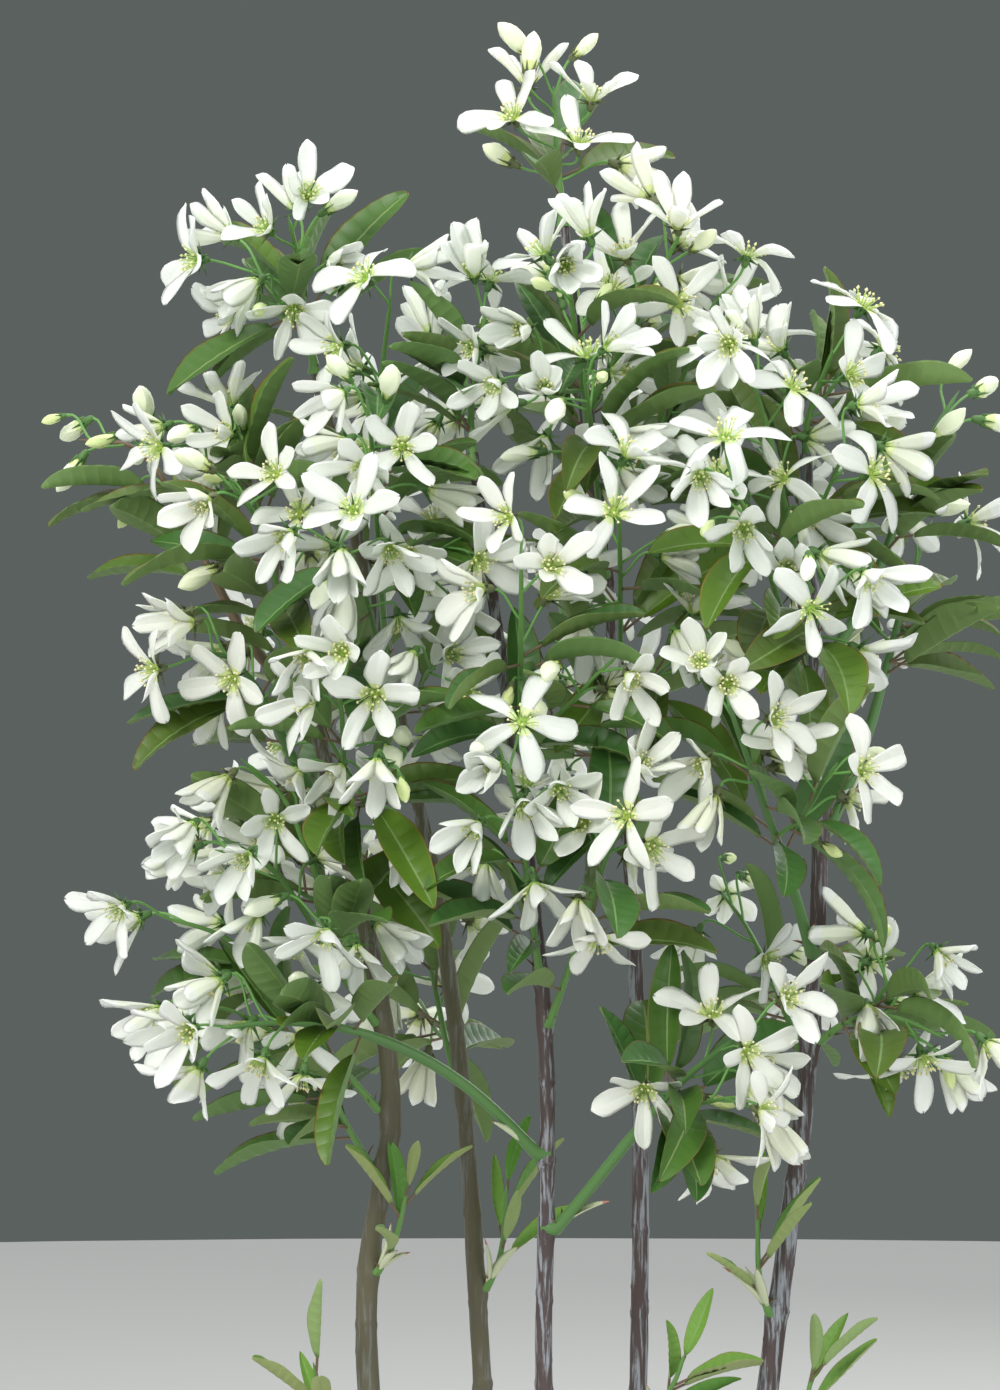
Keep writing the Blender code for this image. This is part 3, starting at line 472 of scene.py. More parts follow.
class Room:
    """All that has grown so far, as trees of faces in balls, and the lines of all limbs and twigs."""

    def __init__(self):
        self.trees = []
        self.middles = np.zeros((0, 3))
        self.reaches = np.zeros(0)
        self.starts = np.zeros((0, 3))
        self.ends = np.zeros((0, 3))
        self.owners = np.zeros(0, object)
        self.growers = []

    def keep(self, owner, points, faces):
        """Remembers a shape, and whose it is."""
        middle = sum(points, Vector()) / len(points)
        self.growers.append(owner)
        self.trees.append(BVHTree.FromPolygons(points, faces))
        self.middles = np.vstack([self.middles, np.array(middle)])
        self.reaches = np.append(self.reaches, max((point - middle).length for point in points))

    def keep_line(self, path, owner, radius):
        """Remembers a limb or a twig, and whose it is."""
        points = np.array(path, float)
        self.starts = np.vstack([self.starts, points[:-1]])
        self.ends = np.vstack([self.ends, points[1:]])
        self.owners = np.append(self.owners, np.array([owner] * (len(points) - 1), object))
        self.keep(owner, *tube_shape(path, [radius + SPARE] * len(path), 6))

    def distances(self, point):
        """The distance from a point to each straight piece of limb or twig."""
        along = self.ends - self.starts
        offset = np.array(point) - self.starts
        t = (offset * along).sum(1) / (along * along).sum(1)
        nearest = offset - np.clip(t, 0, 1)[:, None] * along
        return np.sqrt((nearest * nearest).sum(1))

    def owns(self, point, owner):
        """True where a point lies nearer to the owner's twigs than to any other mass's."""
        apart = self.distances(point)
        own = self.owners == owner
        return apart[own].min() < apart[~own & (self.owners != "limb")].min()

    def room_at(self, point, owner):
        """How far a point stays from all that isn't the owner's."""
        return float(self.distances(point)[self.owners != owner].min())

    def takes(self, make, thing, owner, spare):
        """Keeps a thing that crosses nothing, or only its own mass and with its foot. Says if it did."""
        points, faces = make(thing, spare)
        middle = sum(points, Vector()) / len(points)
        reach = max((point - middle).length for point in points)
        apart = np.sqrt(((self.middles - np.array(middle)) ** 2).sum(1))
        near = np.nonzero(apart < self.reaches + reach)[0]
        whole = BVHTree.FromPolygons(points, faces)
        outer = BVHTree.FromPolygons(*make(thing, spare, BARE_LENGTH))
        for k in near:
            if (outer if self.growers[k] == owner else whole).overlap(self.trees[k]):
                return False
        self.keep(owner, points, faces)
        return True


# Growth: where stems, boughs, stalks, leaves and flowers go

Flower = namedtuple("Flower", "root centre facing roll size lift bud")
Leaf = namedtuple("Leaf", "root direction face length width")
Growth = namedtuple("Growth", "shoot bough twigs flowers leaves")


def stem_path(stem, steps):
    """A stem's path from inside the crown to its tip."""
    points = [Vector((*stem.foot, STEM_ROOT)), Vector(stem.knee), Vector(stem.waist), Vector(stem.tip)]
    return smooth_path(points, steps)


def stem_radius(stem, height):
    """Half the stem's thickness, which narrows evenly from foot to tip."""
    share = min(max(height / stem.tip[2], 0), 1)
    return (stem.thickness + (stem.slimness - stem.thickness) * share) / 2


def shoot_start(shoot, stems):
    """Where the shoot's cut end lies, just clear of its stem, and the direction in which it sets out."""
    stem = next(s for s in STEMS if s.name == shoot.stem)
    path = stems[shoot.stem]
    if not shoot.height:
        tip, direction = point_at(path, 1)
        return tip + direction * JOINT_GAP, direction
    joint, direction = point_at(path, share_at_height(path, shoot.height))
    outward = Vector(shoot.tip) - joint
    outward = (outward - direction * outward.dot(direction)).normalized()
    leaving = direction * math.cos(LEAVING_ANGLE) + outward * math.sin(LEAVING_ANGLE)
    radius = BOUGH_RADIUS if shoot.bare else STALK_RADIUS
    corner = radius * math.cos(LEAVING_ANGLE) * math.cos(math.pi / 6)
    return joint + outward * (stem_radius(stem, joint.z) + JOINT_GAP + corner), leaving


def off_the_twig(axis, angle, lean):
    """The direction that leans away from a twig's own, turned by an angle round it."""
    return way_round(axis, way_round(*across(axis), angle), lean)


def fork_paths(shoot, stalk, room, rng):
    """Side stalks, each of which goes where the shrub has most room for it."""
    forks = []
    for k in range(shoot.forks):
        share = FORK_FROM + FORK_STEP * k
        root, axis = point_at(stalk, share)
        length = min(FORK_SHARE * (1 - share) * lengths_along(stalk)[-1], FORK_LENGTH)
        turn = rng.uniform(0, 2 * math.pi)
        best = None
        for attempt in range(TRIES):
            way = off_the_twig(axis, turn + 2 * math.pi * attempt / TRIES, FORK_ANGLE)
            tip = root + (way + axis * FORK_BEND).normalized() * length
            path = shoot_path(root, way, tip, shoot.nod * FORK_NOD, SHOOT_STEPS)
            if math.hypot(path[-1].x, path[-1].y) > CROWN_REACH:
                continue
            near = [room.room_at(point, shoot.name) for point in path[2:]]
            score = min([*near, *((path[-1] - fork[-1]).length for fork in forks)])
            if score > FORK_ROOM and (best is None or score > best[0]):
                best = (score, path)
        if best:
            forks.append(best[1])
            room.keep_line(best[1], shoot.name, STALK_RADIUS)
    return forks


def outward_at(point):
    """The level direction away from the shrub's middle, turned up a little near its top."""
    level = Vector((point.x - MIDDLE_X, point.y, 0))
    return (level / CROWN_REACH + Vector((0, 0, max(0, point.z - MIDDLE_Z) / CROWN_REACH))).normalized()


def grow_flowers(shoot, twig, count, room, rng, spare, flowers, buds):
    """Flowers on pedicels round the outer part of a twig, some of them, by chance, still buds."""
    turn = rng.uniform(0, 2 * math.pi)
    length = lengths_along(twig)[-1]
    bloom = min(FLOWERING_SHARE, FLOWERING_LENGTH / length)
    hub = point_at(twig, 1 - bloom / 2)[0]
    for k in range(count):
        bud = rng.random() < buds
        size = PETAL_LENGTH * rng.uniform(*FLOWER_RANGE)
        lift = WIDE_OPEN + (NEARLY_CLOSED - WIDE_OPEN) * rng.random() ** (OPENNESS - shoot.nod)
        for attempt in range(TRIES * 2):
            loose = TIGHTEST + attempt / TRIES
            age = min(max((k + 0.5) / count + rng.uniform(-AGE_SPREAD, AGE_SPREAD) * loose, 0), 1)
            root, axis = point_at(twig, 1 - TIP_SHARE - bloom * (1 - age))
            angle = turn + GOLDEN_ANGLE * k + rng.uniform(-TURN_SPREAD, TURN_SPREAD) * loose
            stray = rng.uniform(-FLOWER_LEAN_SPREAD, FLOWER_LEAN_SPREAD) * loose
            way = off_the_twig(axis, angle, math.radians(FLOWER_LEAN - LEAN_LOST * age) + stray)
            centre = root + way * PEDICEL_LENGTH * rng.uniform(*PEDICEL_RANGE)
            chance = chance_way(rng)
            apart, outward = (centre - hub).normalized(), outward_at(centre)
            facing = way * FACING_AHEAD + apart * FACING_APART + outward * FACING_OUTWARD
            facing = facing + chance * (FACING_CHANCE + FACING_LOOSE * loose)
            facing = (facing - Vector((0, 0, FACING_NOD * shoot.nod))).normalized()
            if facing.dot(way) < FACING_LEAST or not room.owns(centre, shoot.name):
                continue
            flower = Flower(root, centre, facing, rng.uniform(0, 2 * math.pi), size, lift, bud)
            if room.takes(blossom_shape, flower, shoot.name, spare):
                flowers.append(flower)
                break


def grow_leaves(shoot, twig, count, room, rng, spare, leaves, young=False):
    """Leaves set alternately along the lower part of a twig, faces to the light, tips arching out."""
    turn = rng.uniform(0, 2 * math.pi)
    length, width = (YOUNG_LEAF_LENGTH, YOUNG_LEAF_WIDTH) if young else (LEAF_LENGTH, LEAF_WIDTH)
    run = lengths_along(twig)[-1]
    last = 1 - TIP_SHARE if young else max(LEAFY_TO, 1 - FLOWERING_LENGTH * LEAF_OVERLAP / run)
    first = max(LEAFY_FROM, last - LEAFY_LENGTH / run)
    for k in range(count):
        size = length * rng.uniform(*LEAF_RANGE)
        for attempt in range(TRIES * 2):
            loose = TIGHTEST + attempt / TRIES
            age = min(max((k + 0.5) / count + rng.uniform(-AGE_SPREAD, AGE_SPREAD) * loose, 0), 1)
            root, axis = point_at(twig, first + (last - first) * age)
            angle = turn + GOLDEN_ANGLE * k + rng.uniform(-TURN_SPREAD, TURN_SPREAD) * loose
            stray = rng.uniform(-LEAF_LEAN_SPREAD, LEAF_LEAN_SPREAD) * loose
            way = off_the_twig(axis, angle, math.radians(YOUNG_LEAF_LEAN if young else LEAF_LEAN) + stray)
            outward = outward_at(root)
            way = (way + outward * LEAF_OUTWARD + Vector((0, 0, rng.uniform(*LEAF_RISE)))).normalized()
            light = Vector((rng.uniform(*LIGHT_SPREAD), rng.uniform(*LIGHT_SPREAD), 1))
            face = axis if young else light + outward * LIGHT_OUTWARD
            face = (face - way * face.dot(way)).normalized()
            leaf = Leaf(root, way, face, size, size * width)
            if not room.owns(root + way * size * LEAF_OVERLAP, shoot.name):
                continue
            if room.takes(leaf_shape, leaf, shoot.name, spare):
                leaves.append(leaf)
                break


def is_tuft(growth):
    return not growth.shoot.flowers


def flowers_by_twig(growth, count):
    """Each twig with its part of so many flowers. A fork bears fewer than the stalk."""
    shares = [1.0] + [FORK_SHARE] * (len(growth.twigs) - 1)
    return [(twig, count * share / sum(shares)) for twig, share in zip(growth.twigs, shares)]


def grow_shrub():
    """Every stem's path, and what grows on them: each shoot's bough, twigs, flowers and leaves."""
    stems = {stem.name: stem_path(stem, STEM_STEPS) for stem in STEMS}
    room = Room()
    for stem in STEMS:
        room.keep_line(stems[stem.name], "limb", stem.thickness / 2)
    grown = []
    for shoot in (*SHOOTS, *TUFTS):
        start, leaving = shoot_start(shoot, stems)
        path = shoot_path(start, leaving, Vector(shoot.tip), shoot.nod)
        length = lengths_along(path)[-1]
        bare = shoot.bare / length
        bough = stretch_of(path, 0, bare, SHOOT_STEPS) if shoot.bare else None
        stalk = stretch_of(path, bare + JOINT_GAP / length if shoot.bare else 0, 1, SHOOT_STEPS)
        if bough:
            room.keep_line(bough, "limb", BOUGH_RADIUS)
        room.keep_line(stalk, shoot.name, STALK_RADIUS)
        grown.append(Growth(shoot, bough, [stalk], [], []))
    for growth in grown:
        rng = random.Random(growth.shoot.name + " forks")
        growth.twigs.extend(fork_paths(growth.shoot, growth.twigs[0], room, rng))
    for growth in grown:
        shoot = growth.shoot
        rng = random.Random(shoot.name)
        buds = MANY_BUDS if shoot.name == STILL_IN_BUD else FEW_BUDS
        for twig, part in flowers_by_twig(growth, shoot.flowers):
            grow_flowers(shoot, twig, round(part), room, rng, SPARE, growth.flowers, buds)
    for growth in grown:
        shoot, young = growth.shoot, is_tuft(growth)
        rng = random.Random(shoot.name + " leaves")
        grow_leaves(shoot, growth.twigs[0], shoot.leaves, room, rng, SPARE, growth.leaves, young)
    return stems, grown, room


# Finer growth between what the solids have

FINER_SPARE = -0.0003
FINER_FLOWERS = 0.55
FINER_BUDS = 0.34
FINER_LEAVES = 4
FINER_YOUNG_LEAVES = 1
STRAY = 0.34
HANG = 0.75
CLOSING = 0.65


def closedness(flower):
    """How far a flower is closed, from nought where it is wide open to one."""
    return (flower.lift - WIDE_OPEN) / (NEARLY_CLOSED - WIDE_OPEN)


def nodding(flower, rng):
    """The flower more closed and turned than it grew: the more it is closed, the more it hangs."""
    closed = closedness(flower) ** CLOSING
    facing = flower.facing + chance_way(rng) * STRAY - Vector((0, 0, HANG * closed))
    lift = WIDE_OPEN + (NEARLY_CLOSED - WIDE_OPEN) * closed
    return flower._replace(facing=facing.normalized(), lift=lift)


@lru_cache(maxsize=None)
def shrub():
    """The shrub's stems and growth: first what the solids have, then finer things between."""
    stems, grown, room = grow_shrub()
    for growth in grown:
        shoot, young = growth.shoot, is_tuft(growth)
        rng = random.Random(shoot.name + " finer")
        buds = MANY_BUDS if shoot.name == STILL_IN_BUD else FINER_BUDS
        for twig, part in flowers_by_twig(growth, shoot.flowers * FINER_FLOWERS):
            grow_flowers(shoot, twig, math.ceil(part), room, rng, FINER_SPARE, growth.flowers, buds)
        for twig in growth.twigs:
            count = FINER_YOUNG_LEAVES if young else FINER_LEAVES
            grow_leaves(shoot, twig, count, room, rng, FINER_SPARE, growth.leaves, young)
        growth.flowers[:] = [nodding(flower, rng) for flower in growth.flowers]
    return stems, grown


# Nodes

def add_node(tree, kind, values=None, **settings):
    """A new node with its settings, and its inputs set to values or linked to other nodes' sockets."""
    made = tree.nodes.new(kind)
    for name, setting in settings.items():
        setattr(made, name, setting)
    for name, value in (values or {}).items():
        socket = made.inputs[name]
        if isinstance(value, bpy.types.NodeSocket):
            tree.links.new(value, socket)
        else:
            socket.default_value = value
    return made


def maths(tree, operation, *values):
    """The result of an operation on numbers or sockets."""
    return add_node(tree, "ShaderNodeMath", dict(enumerate(values)), operation=operation).outputs[0]


def clouds(tree, place, scale, detail, roughness=0.5):
    """Soft noise at a place."""
    values = {"Vector": place, "Scale": scale, "Detail": detail, "Roughness": roughness}
    return add_node(tree, "ShaderNodeTexNoise", values).outputs["Fac"]


def mapped(tree, value, limits, interpolation="LINEAR"):
    """A value carried from one range to another."""
    values = {"Value": value, **limits}
    return add_node(tree, "ShaderNodeMapRange", values, interpolation_type=interpolation).outputs["Result"]


def mixed(tree, factor, first, second):
    """Two colours mixed by a factor. The node's colour sockets are known only by their numbers."""
    values = {"Factor": factor, 6: first, 7: second}
    return add_node(tree, "ShaderNodeMix", values, data_type="RGBA").outputs[2]


def attribute(tree, name, kind="FLOAT"):
    """A named attribute of the geometry."""
    made = add_node(tree, "GeometryNodeInputNamedAttribute", {"Name": name}, data_type=kind)
    return made.outputs["Attribute"]


# Materials

SHINE = 0.4
GLOW_DEPTH = 0.002
FLECK_DETAIL = 4.0
FLECK_ROUGHNESS = 0.55
BROAD_SCALE = 260.0
BROAD_DETAIL = 2.0
BROAD_WEIGHT = 0.55
FLECK_LIMIT = 0.95
LIMIT_BY_COVER = -0.30
FLECK_EDGE = 0.20
MOTTLE_SCALE = 38.0
MOTTLE_DETAIL = 3.0
SMOOTH_RISE = 0.10
SMOOTH_SHARE = 0.30
BARK_ROUGHNESS = (0.48, 0.80)
BARK_BUMP = 0.5
BARK_BUMP_HEIGHT = 0.0004


def shader_of(name):
    """A new material, its node tree and its main shader."""
    made = bpy.data.materials.new(name)
    made.use_nodes = True
    return made, made.node_tree, made.node_tree.nodes["Principled BSDF"]


def plain_finish(name, colour, roughness, glow_through=0.0):
    """An even finish: its colour lies on the shader's own socket."""
    made, _, shader = shader_of(name)
    shader.inputs["Base Color"].default_value = (*colour, 1)
    shader.inputs["Roughness"].default_value = roughness
    shader.inputs["Specular IOR Level"].default_value = SHINE
    if glow_through:
        shader.inputs["Subsurface Weight"].default_value = glow_through
        shader.inputs["Subsurface Radius"].default_value = (1.0, 1.0, 1.0)
        shader.inputs["Subsurface Scale"].default_value = GLOW_DEPTH
    return made


def bark_group():
    """Silvery flecks drawn out along the stem, the relief that goes with them, and a soft mottling."""
    tree = bpy.data.node_groups.new("bark weathering", "ShaderNodeTree")
    for name, value in (("Fleck Size", 1050.0), ("Stretch", 0.085), ("Cover", 0.5)):
        socket = tree.interface.new_socket(name, in_out="INPUT", socket_type="NodeSocketFloat")
        socket.default_value = value
    for name in ("Flecks", "Mottle", "Relief"):
        tree.interface.new_socket(name, in_out="OUTPUT", socket_type="NodeSocketFloat")
    given = add_node(tree, "NodeGroupInput").outputs
    place = add_node(tree, "ShaderNodeTexCoord").outputs["Object"]
    squeeze = add_node(tree, "ShaderNodeCombineXYZ", {"X": 1.0, "Y": 1.0, "Z": given["Stretch"]}).outputs[0]
    drawn = add_node(tree, "ShaderNodeVectorMath", {0: place, 1: squeeze}, operation="MULTIPLY").outputs[0]
    fine = clouds(tree, drawn, given["Fleck Size"], FLECK_DETAIL, FLECK_ROUGHNESS)
    broad = clouds(tree, drawn, BROAD_SCALE, BROAD_DETAIL)
    joined = maths(tree, "MULTIPLY_ADD", broad, BROAD_WEIGHT, fine)
    limit = maths(tree, "MULTIPLY_ADD", given["Cover"], LIMIT_BY_COVER, FLECK_LIMIT)
    limits = {"From Min": limit, "From Max": maths(tree, "ADD", limit, FLECK_EDGE)}
    flecks = mapped(tree, joined, limits, "SMOOTHSTEP")
    mottle = clouds(tree, place, MOTTLE_SCALE, MOTTLE_DETAIL)
    add_node(tree, "NodeGroupOutput", {"Flecks": flecks, "Mottle": mottle, "Relief": joined})
    return tree


def bark_finish(name, group, ground, warm, fleck, cover, smooth_below=None):
    """Dark bark, mottled towards a warmer tone and flecked with silver, smoother towards the foot."""
    made, tree, shader = shader_of(name)
    wear = add_node(tree, "ShaderNodeGroup", node_tree=group)
    wear.inputs["Cover"].default_value = cover
    base = mixed(tree, wear.outputs["Mottle"], (*ground, 1), (*warm, 1))
    flecks = wear.outputs["Flecks"]
    if smooth_below:
        place = add_node(tree, "ShaderNodeTexCoord").outputs["Object"]
        height = add_node(tree, "ShaderNodeSeparateXYZ", {0: place}).outputs["Z"]
        limits = {"From Min": smooth_below, "From Max": smooth_below + SMOOTH_RISE, "To Min": SMOOTH_SHARE}
        flecks = maths(tree, "MULTIPLY", flecks, mapped(tree, height, limits))
    smooth, rough = BARK_ROUGHNESS
    relief = {"Height": wear.outputs["Relief"], "Strength": BARK_BUMP, "Distance": BARK_BUMP_HEIGHT}
    surface = {
        "Base Color": mixed(tree, flecks, base, (*fleck, 1)),
        "Roughness": mapped(tree, wear.outputs["Mottle"], {"To Min": smooth, "To Max": rough}),
        "Normal": add_node(tree, "ShaderNodeBump", relief).outputs["Normal"],
    }
    for socket, value in surface.items():
        tree.links.new(value, shader.inputs[socket])
    return made


# Settings that a user would change

class ShrubSizes(bpy.types.PropertyGroup):
    """Sizes of the shrub's visible pieces."""

    petal_length: bpy.props.FloatProperty(
        name="Petal Length", description="Length of a petal from heart to tip",
        default=PETAL_LENGTH, unit="LENGTH",
    )
    petal_width: bpy.props.FloatProperty(
        name="Petal Width", description="Widest part of a petal", default=0.0068, unit="LENGTH"
    )
    petal_thickness: bpy.props.FloatProperty(
        name="Petal Thickness", description="Thickness of a petal in its middle",
        default=0.00030, unit="LENGTH",
    )
    stamens: bpy.props.IntProperty(
        name="Stamens", description="Stamens in an open flower", default=18, min=5, max=24
    )
    stalk_girth: bpy.props.FloatProperty(
        name="Stalk Girth", description="Thickness of a raceme's stalk at its foot",
        default=0.0019, unit="LENGTH",
    )
    pedicel_girth: bpy.props.FloatProperty(
        name="Pedicel Girth", description="Thickness of a flower's own stalk", default=0.00085, unit="LENGTH"
    )
    bark_relief: bpy.props.FloatProperty(
        name="Bark Relief", description="Height of the ridges in the bark", default=0.00022, unit="LENGTH"
    )


class ShrubColours(bpy.types.PropertyGroup):
    """Colours of the shrub's visible pieces."""

    petal: bpy.props.FloatVectorProperty(
        name="Petal", description="White of the petals", subtype="COLOR", default=(0.865, 0.905, 0.83)
    )
    bark: bpy.props.FloatVectorProperty(
        name="Bark", description="Dark ground of the bark", subtype="COLOR", default=(0.046, 0.034, 0.036)
    )
    fleck: bpy.props.FloatVectorProperty(
        name="Bark Fleck", description="Silver of the flecks", subtype="COLOR", default=(0.27, 0.29, 0.32)
    )
    leaf: bpy.props.FloatVectorProperty(
        name="Leaf", description="Olive green of grown leaves",
        subtype="COLOR", default=(0.062, 0.147, 0.021),
    )
    young_leaf: bpy.props.FloatVectorProperty(
        name="Young Leaf", description="Fresh green of young leaves",
        subtype="COLOR", default=(0.155, 0.350, 0.055),
    )
    floor: bpy.props.FloatVectorProperty(
        name="Floor", description="Pale floor", subtype="COLOR", default=(0.52, 0.52, 0.50)
    )


def sizes():
    return bpy.context.scene.shrub_sizes


def colours():
    return bpy.context.scene.shrub_colours


BRIGHTEST = 0.9


def tinted(colour, red=1.0, green=1.0, blue=1.0):
    """A colour with its red, green and blue scaled."""
    return tuple(min(part * scale, BRIGHTEST) for part, scale in zip(colour, (red, green, blue)))


# Meshes

SPARE_ATTRIBUTES = ("turn", "size", "kind", "tone", "finish", "girth")

Spot = namedtuple("Spot", "place turn size kind tone")
Line = namedtuple("Line", "path radii tone")


def give(mesh, name, kind, values, domain="POINT"):
    """Gives a mesh an attribute, with a value for each of its points or faces."""
    field = "vector" if kind == "FLOAT_VECTOR" else "value"
    mesh.attributes.new(name, kind, domain).data.foreach_set(field, values)


def plain_object(name, points, faces, finishes=(), finish_numbers=None):
    """A smooth mesh object at the origin, not yet in the scene."""
    mesh = bpy.data.meshes.new(name)
    mesh.from_pydata([tuple(point) for point in points], [], faces)
    for finish in finishes:
        mesh.materials.append(finish)
    mesh.shade_smooth()
    if finish_numbers is not None:
        give(mesh, "finish", "INT", finish_numbers, "FACE")
    return bpy.data.objects.new(name, mesh)


def linked(made):
    bpy.context.scene.collection.objects.link(made)
    return made


def in_scene(made, slot, *nodes):
    """A finished piece rides on the shrub's one body and replaces its solids."""
    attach(made, "root")
    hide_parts(*nodes)


class Shape:
    """Points and faces of a small thing, each face with the number of its finish, and its creased edges."""

    def __init__(self):
        self.points, self.faces, self.finishes, self.creases = [], [], [], set()

    def add(self, points, faces, finish, creases=()):
        first = len(self.points)
        self.points.extend(Vector(point) for point in points)
        self.faces.extend(tuple(first + k for k in face) for face in faces)
        numbers = finish if isinstance(finish, list) else [finish] * len(faces)
        self.finishes.extend(numbers)
        self.creases.update((first + min(edge), first + max(edge)) for edge in creases)

    def template(self, name):
        """The shape as an object whose faces all point outwards."""
        made = plain_object(name, self.points, self.faces, finish_numbers=self.finishes)
        shape = bmesh.new()
        shape.from_mesh(made.data)
        bmesh.ops.recalc_face_normals(shape, faces=shape.faces)
        shape.to_mesh(made.data)
        shape.free()
        for edge in made.data.edges:
            edge.use_edge_sharp = tuple(sorted(edge.vertices)) in self.creases
        return made


def thin_shell(top, under, wide, finishes_at, ends_open):
    """A thin shell from rows of points on both sides that share its rim, and each point's number below."""
    rows = len(top) // wide
    points, lower = list(top), {}
    for k, point in enumerate(under):
        inside = 0 < k % wide < wide - 1 and (ends_open or 0 < k // wide < rows - 1)
        lower[k] = len(points) if inside else k
        if inside:
            points.append(point)
    faces, finishes = [], []
    for r in range(rows - 1):
        for c in range(wide - 1):
            a = r * wide + c
            faces.append((a, a + 1, a + wide + 1, a + wide))
            faces.append(tuple(lower[k] for k in (a, a + wide, a + wide + 1, a + 1)))
            finishes.extend(finishes_at(r, c))
    return points, faces, finishes, lower


def turned(beside, up, angle):
    """Two directions square to each other, turned together."""
    cosine, sine = math.cos(angle), math.sin(angle)
    return beside * cosine + up * sine, up * cosine - beside * sine


# Geometry Nodes

def tone_code(tree, tones):
    """A face's finish number and its spray's tone as one number."""
    return maths(tree, "MULTIPLY_ADD", attribute(tree, "finish"), float(tones), attribute(tree, "tone"))


def dress(tree, geometry, code, finishes):
    """Sets each finish on the faces that carry its number, and puts the result out."""
    for number, finish in enumerate(finishes):
        pair = {0: code, 1: float(number), "Epsilon": 0.2}
        match = add_node(tree, "FunctionNodeCompare", pair, data_type="FLOAT", operation="EQUAL")
        values = {"Geometry": geometry, "Selection": match.outputs[0], "Material": finish}
        geometry = add_node(tree, "GeometryNodeSetMaterial", values).outputs["Geometry"]
    add_node(tree, "NodeGroupOutput", {"Geometry": geometry})


def new_tree(name, *inputs):
    """A Geometry Nodes tree with its geometry sockets and named inputs, and its input node's sockets."""
    tree = bpy.data.node_groups.new(name, "GeometryNodeTree")
    tree.interface.new_socket("Geometry", in_out="INPUT", socket_type="NodeSocketGeometry")
    tree.interface.new_socket("Geometry", in_out="OUTPUT", socket_type="NodeSocketGeometry")
    for label, kind in inputs:
        tree.interface.new_socket(label, in_out="INPUT", socket_type=kind)
    return tree, add_node(tree, "NodeGroupInput").outputs


def run_tree(made, tree, **values):
    """Puts a tree on an object, sets its inputs by their identifiers and keeps the mesh it makes."""
    linked(made)
    modifier = made.modifiers.new(tree.name, "NODES")
    modifier.node_group = tree
    for item in tree.interface.items_tree:
        label = item.name.lower()
        if item.in_out == "INPUT" and label in values:
            modifier[item.identifier] = values[label]
    graph = bpy.context.evaluated_depsgraph_get()
    mesh = bpy.data.meshes.new_from_object(made.evaluated_get(graph))
    mesh.name = made.name
    made.modifiers.clear()
    made.data = mesh
    for name in SPARE_ATTRIBUTES:
        if name in mesh.attributes:
            mesh.attributes.remove(mesh.attributes[name])
    bpy.data.node_groups.remove(tree)
    return made


def set_on_points(name, spots, templates, finishes, tones):
    """One joined piece: a template set on each spot with its turn, size and tone."""
    shelf = bpy.data.collections.new(name + " shapes")
    for template in templates:
        shelf.objects.link(template)
    inputs = ("Shapes", "NodeSocketCollection"), ("Size", "NodeSocketFloat")
    tree, given = new_tree(name + " on points", *inputs)
    shapes = add_node(
        tree, "GeometryNodeCollectionInfo",
        {"Collection": given["Shapes"], "Separate Children": True, "Reset Children": True},
    )
    placed = add_node(
        tree, "GeometryNodeInstanceOnPoints",
        {
            "Points": given["Geometry"], "Instance": shapes.outputs["Instances"], "Pick Instance": True,
            "Instance Index": attribute(tree, "kind", "INT"),
            "Rotation": attribute(tree, "turn", "FLOAT_VECTOR"),
            "Scale": maths(tree, "MULTIPLY", attribute(tree, "size"), given["Size"]),
        },
    )
    solid = add_node(tree, "GeometryNodeRealizeInstances", {"Geometry": placed.outputs["Instances"]})
    dress(tree, solid.outputs["Geometry"], tone_code(tree, tones), finishes)
    mesh = bpy.data.meshes.new(name)
    mesh.from_pydata([tuple(spot.place) for spot in spots], [], [])
    turns = np.array([tuple(spot.turn.to_euler()) for spot in spots], float)
    give(mesh, "turn", "FLOAT_VECTOR", turns.ravel())
    give(mesh, "size", "FLOAT", [spot.size for spot in spots])
    give(mesh, "kind", "INT", [spot.kind for spot in spots])
    give(mesh, "tone", "INT", [spot.tone for spot in spots])
    made = run_tree(bpy.data.objects.new(name, mesh), tree, shapes=shelf, size=1.0)
    for template in templates:
        bpy.data.objects.remove(template)
    bpy.data.collections.remove(shelf)
    return made


def tubes(name, lines, finishes, sides):
    """One joined piece of round tubes along lines, each with its own girth and tone."""
    tree, given = new_tree(name + " along lines", ("Sides", "NodeSocketInt"), ("Girth", "NodeSocketFloat"))
    curve = add_node(tree, "GeometryNodeMeshToCurve", {"Mesh": given["Geometry"]})
    ring = {"Resolution": given["Sides"], "Radius": 1.0}
    profile = add_node(tree, "GeometryNodeCurvePrimitiveCircle", ring, mode="RADIUS")
    swept = add_node(
        tree, "GeometryNodeCurveToMesh",
        {
            "Curve": curve.outputs["Curve"], "Profile Curve": profile.outputs["Curve"],
            "Scale": maths(tree, "MULTIPLY", attribute(tree, "girth"), given["Girth"]), "Fill Caps": True,
        },
    )
    rounded = add_node(tree, "GeometryNodeSetShadeSmooth", {"Geometry": swept.outputs["Mesh"]})
    solid = add_node(tree, "GeometryNodeRealizeInstances", {"Geometry": rounded.outputs["Geometry"]})
    dress(tree, solid.outputs["Geometry"], tone_code(tree, 1), finishes)
    points, edges, girths, numbers = [], [], [], []
    for line in lines:
        first = len(points)
        points.extend(tuple(point) for point in line.path)
        edges.extend((k, k + 1) for k in range(first, len(points) - 1))
        girths.extend(line.radii)
        numbers.extend([line.tone] * len(line.path))
    mesh = bpy.data.meshes.new(name)
    mesh.from_pydata(points, edges, [])
    give(mesh, "girth", "FLOAT", girths)
    give(mesh, "tone", "INT", numbers)
    return run_tree(bpy.data.objects.new(name, mesh), tree, sides=sides, girth=1.0)


# Bark

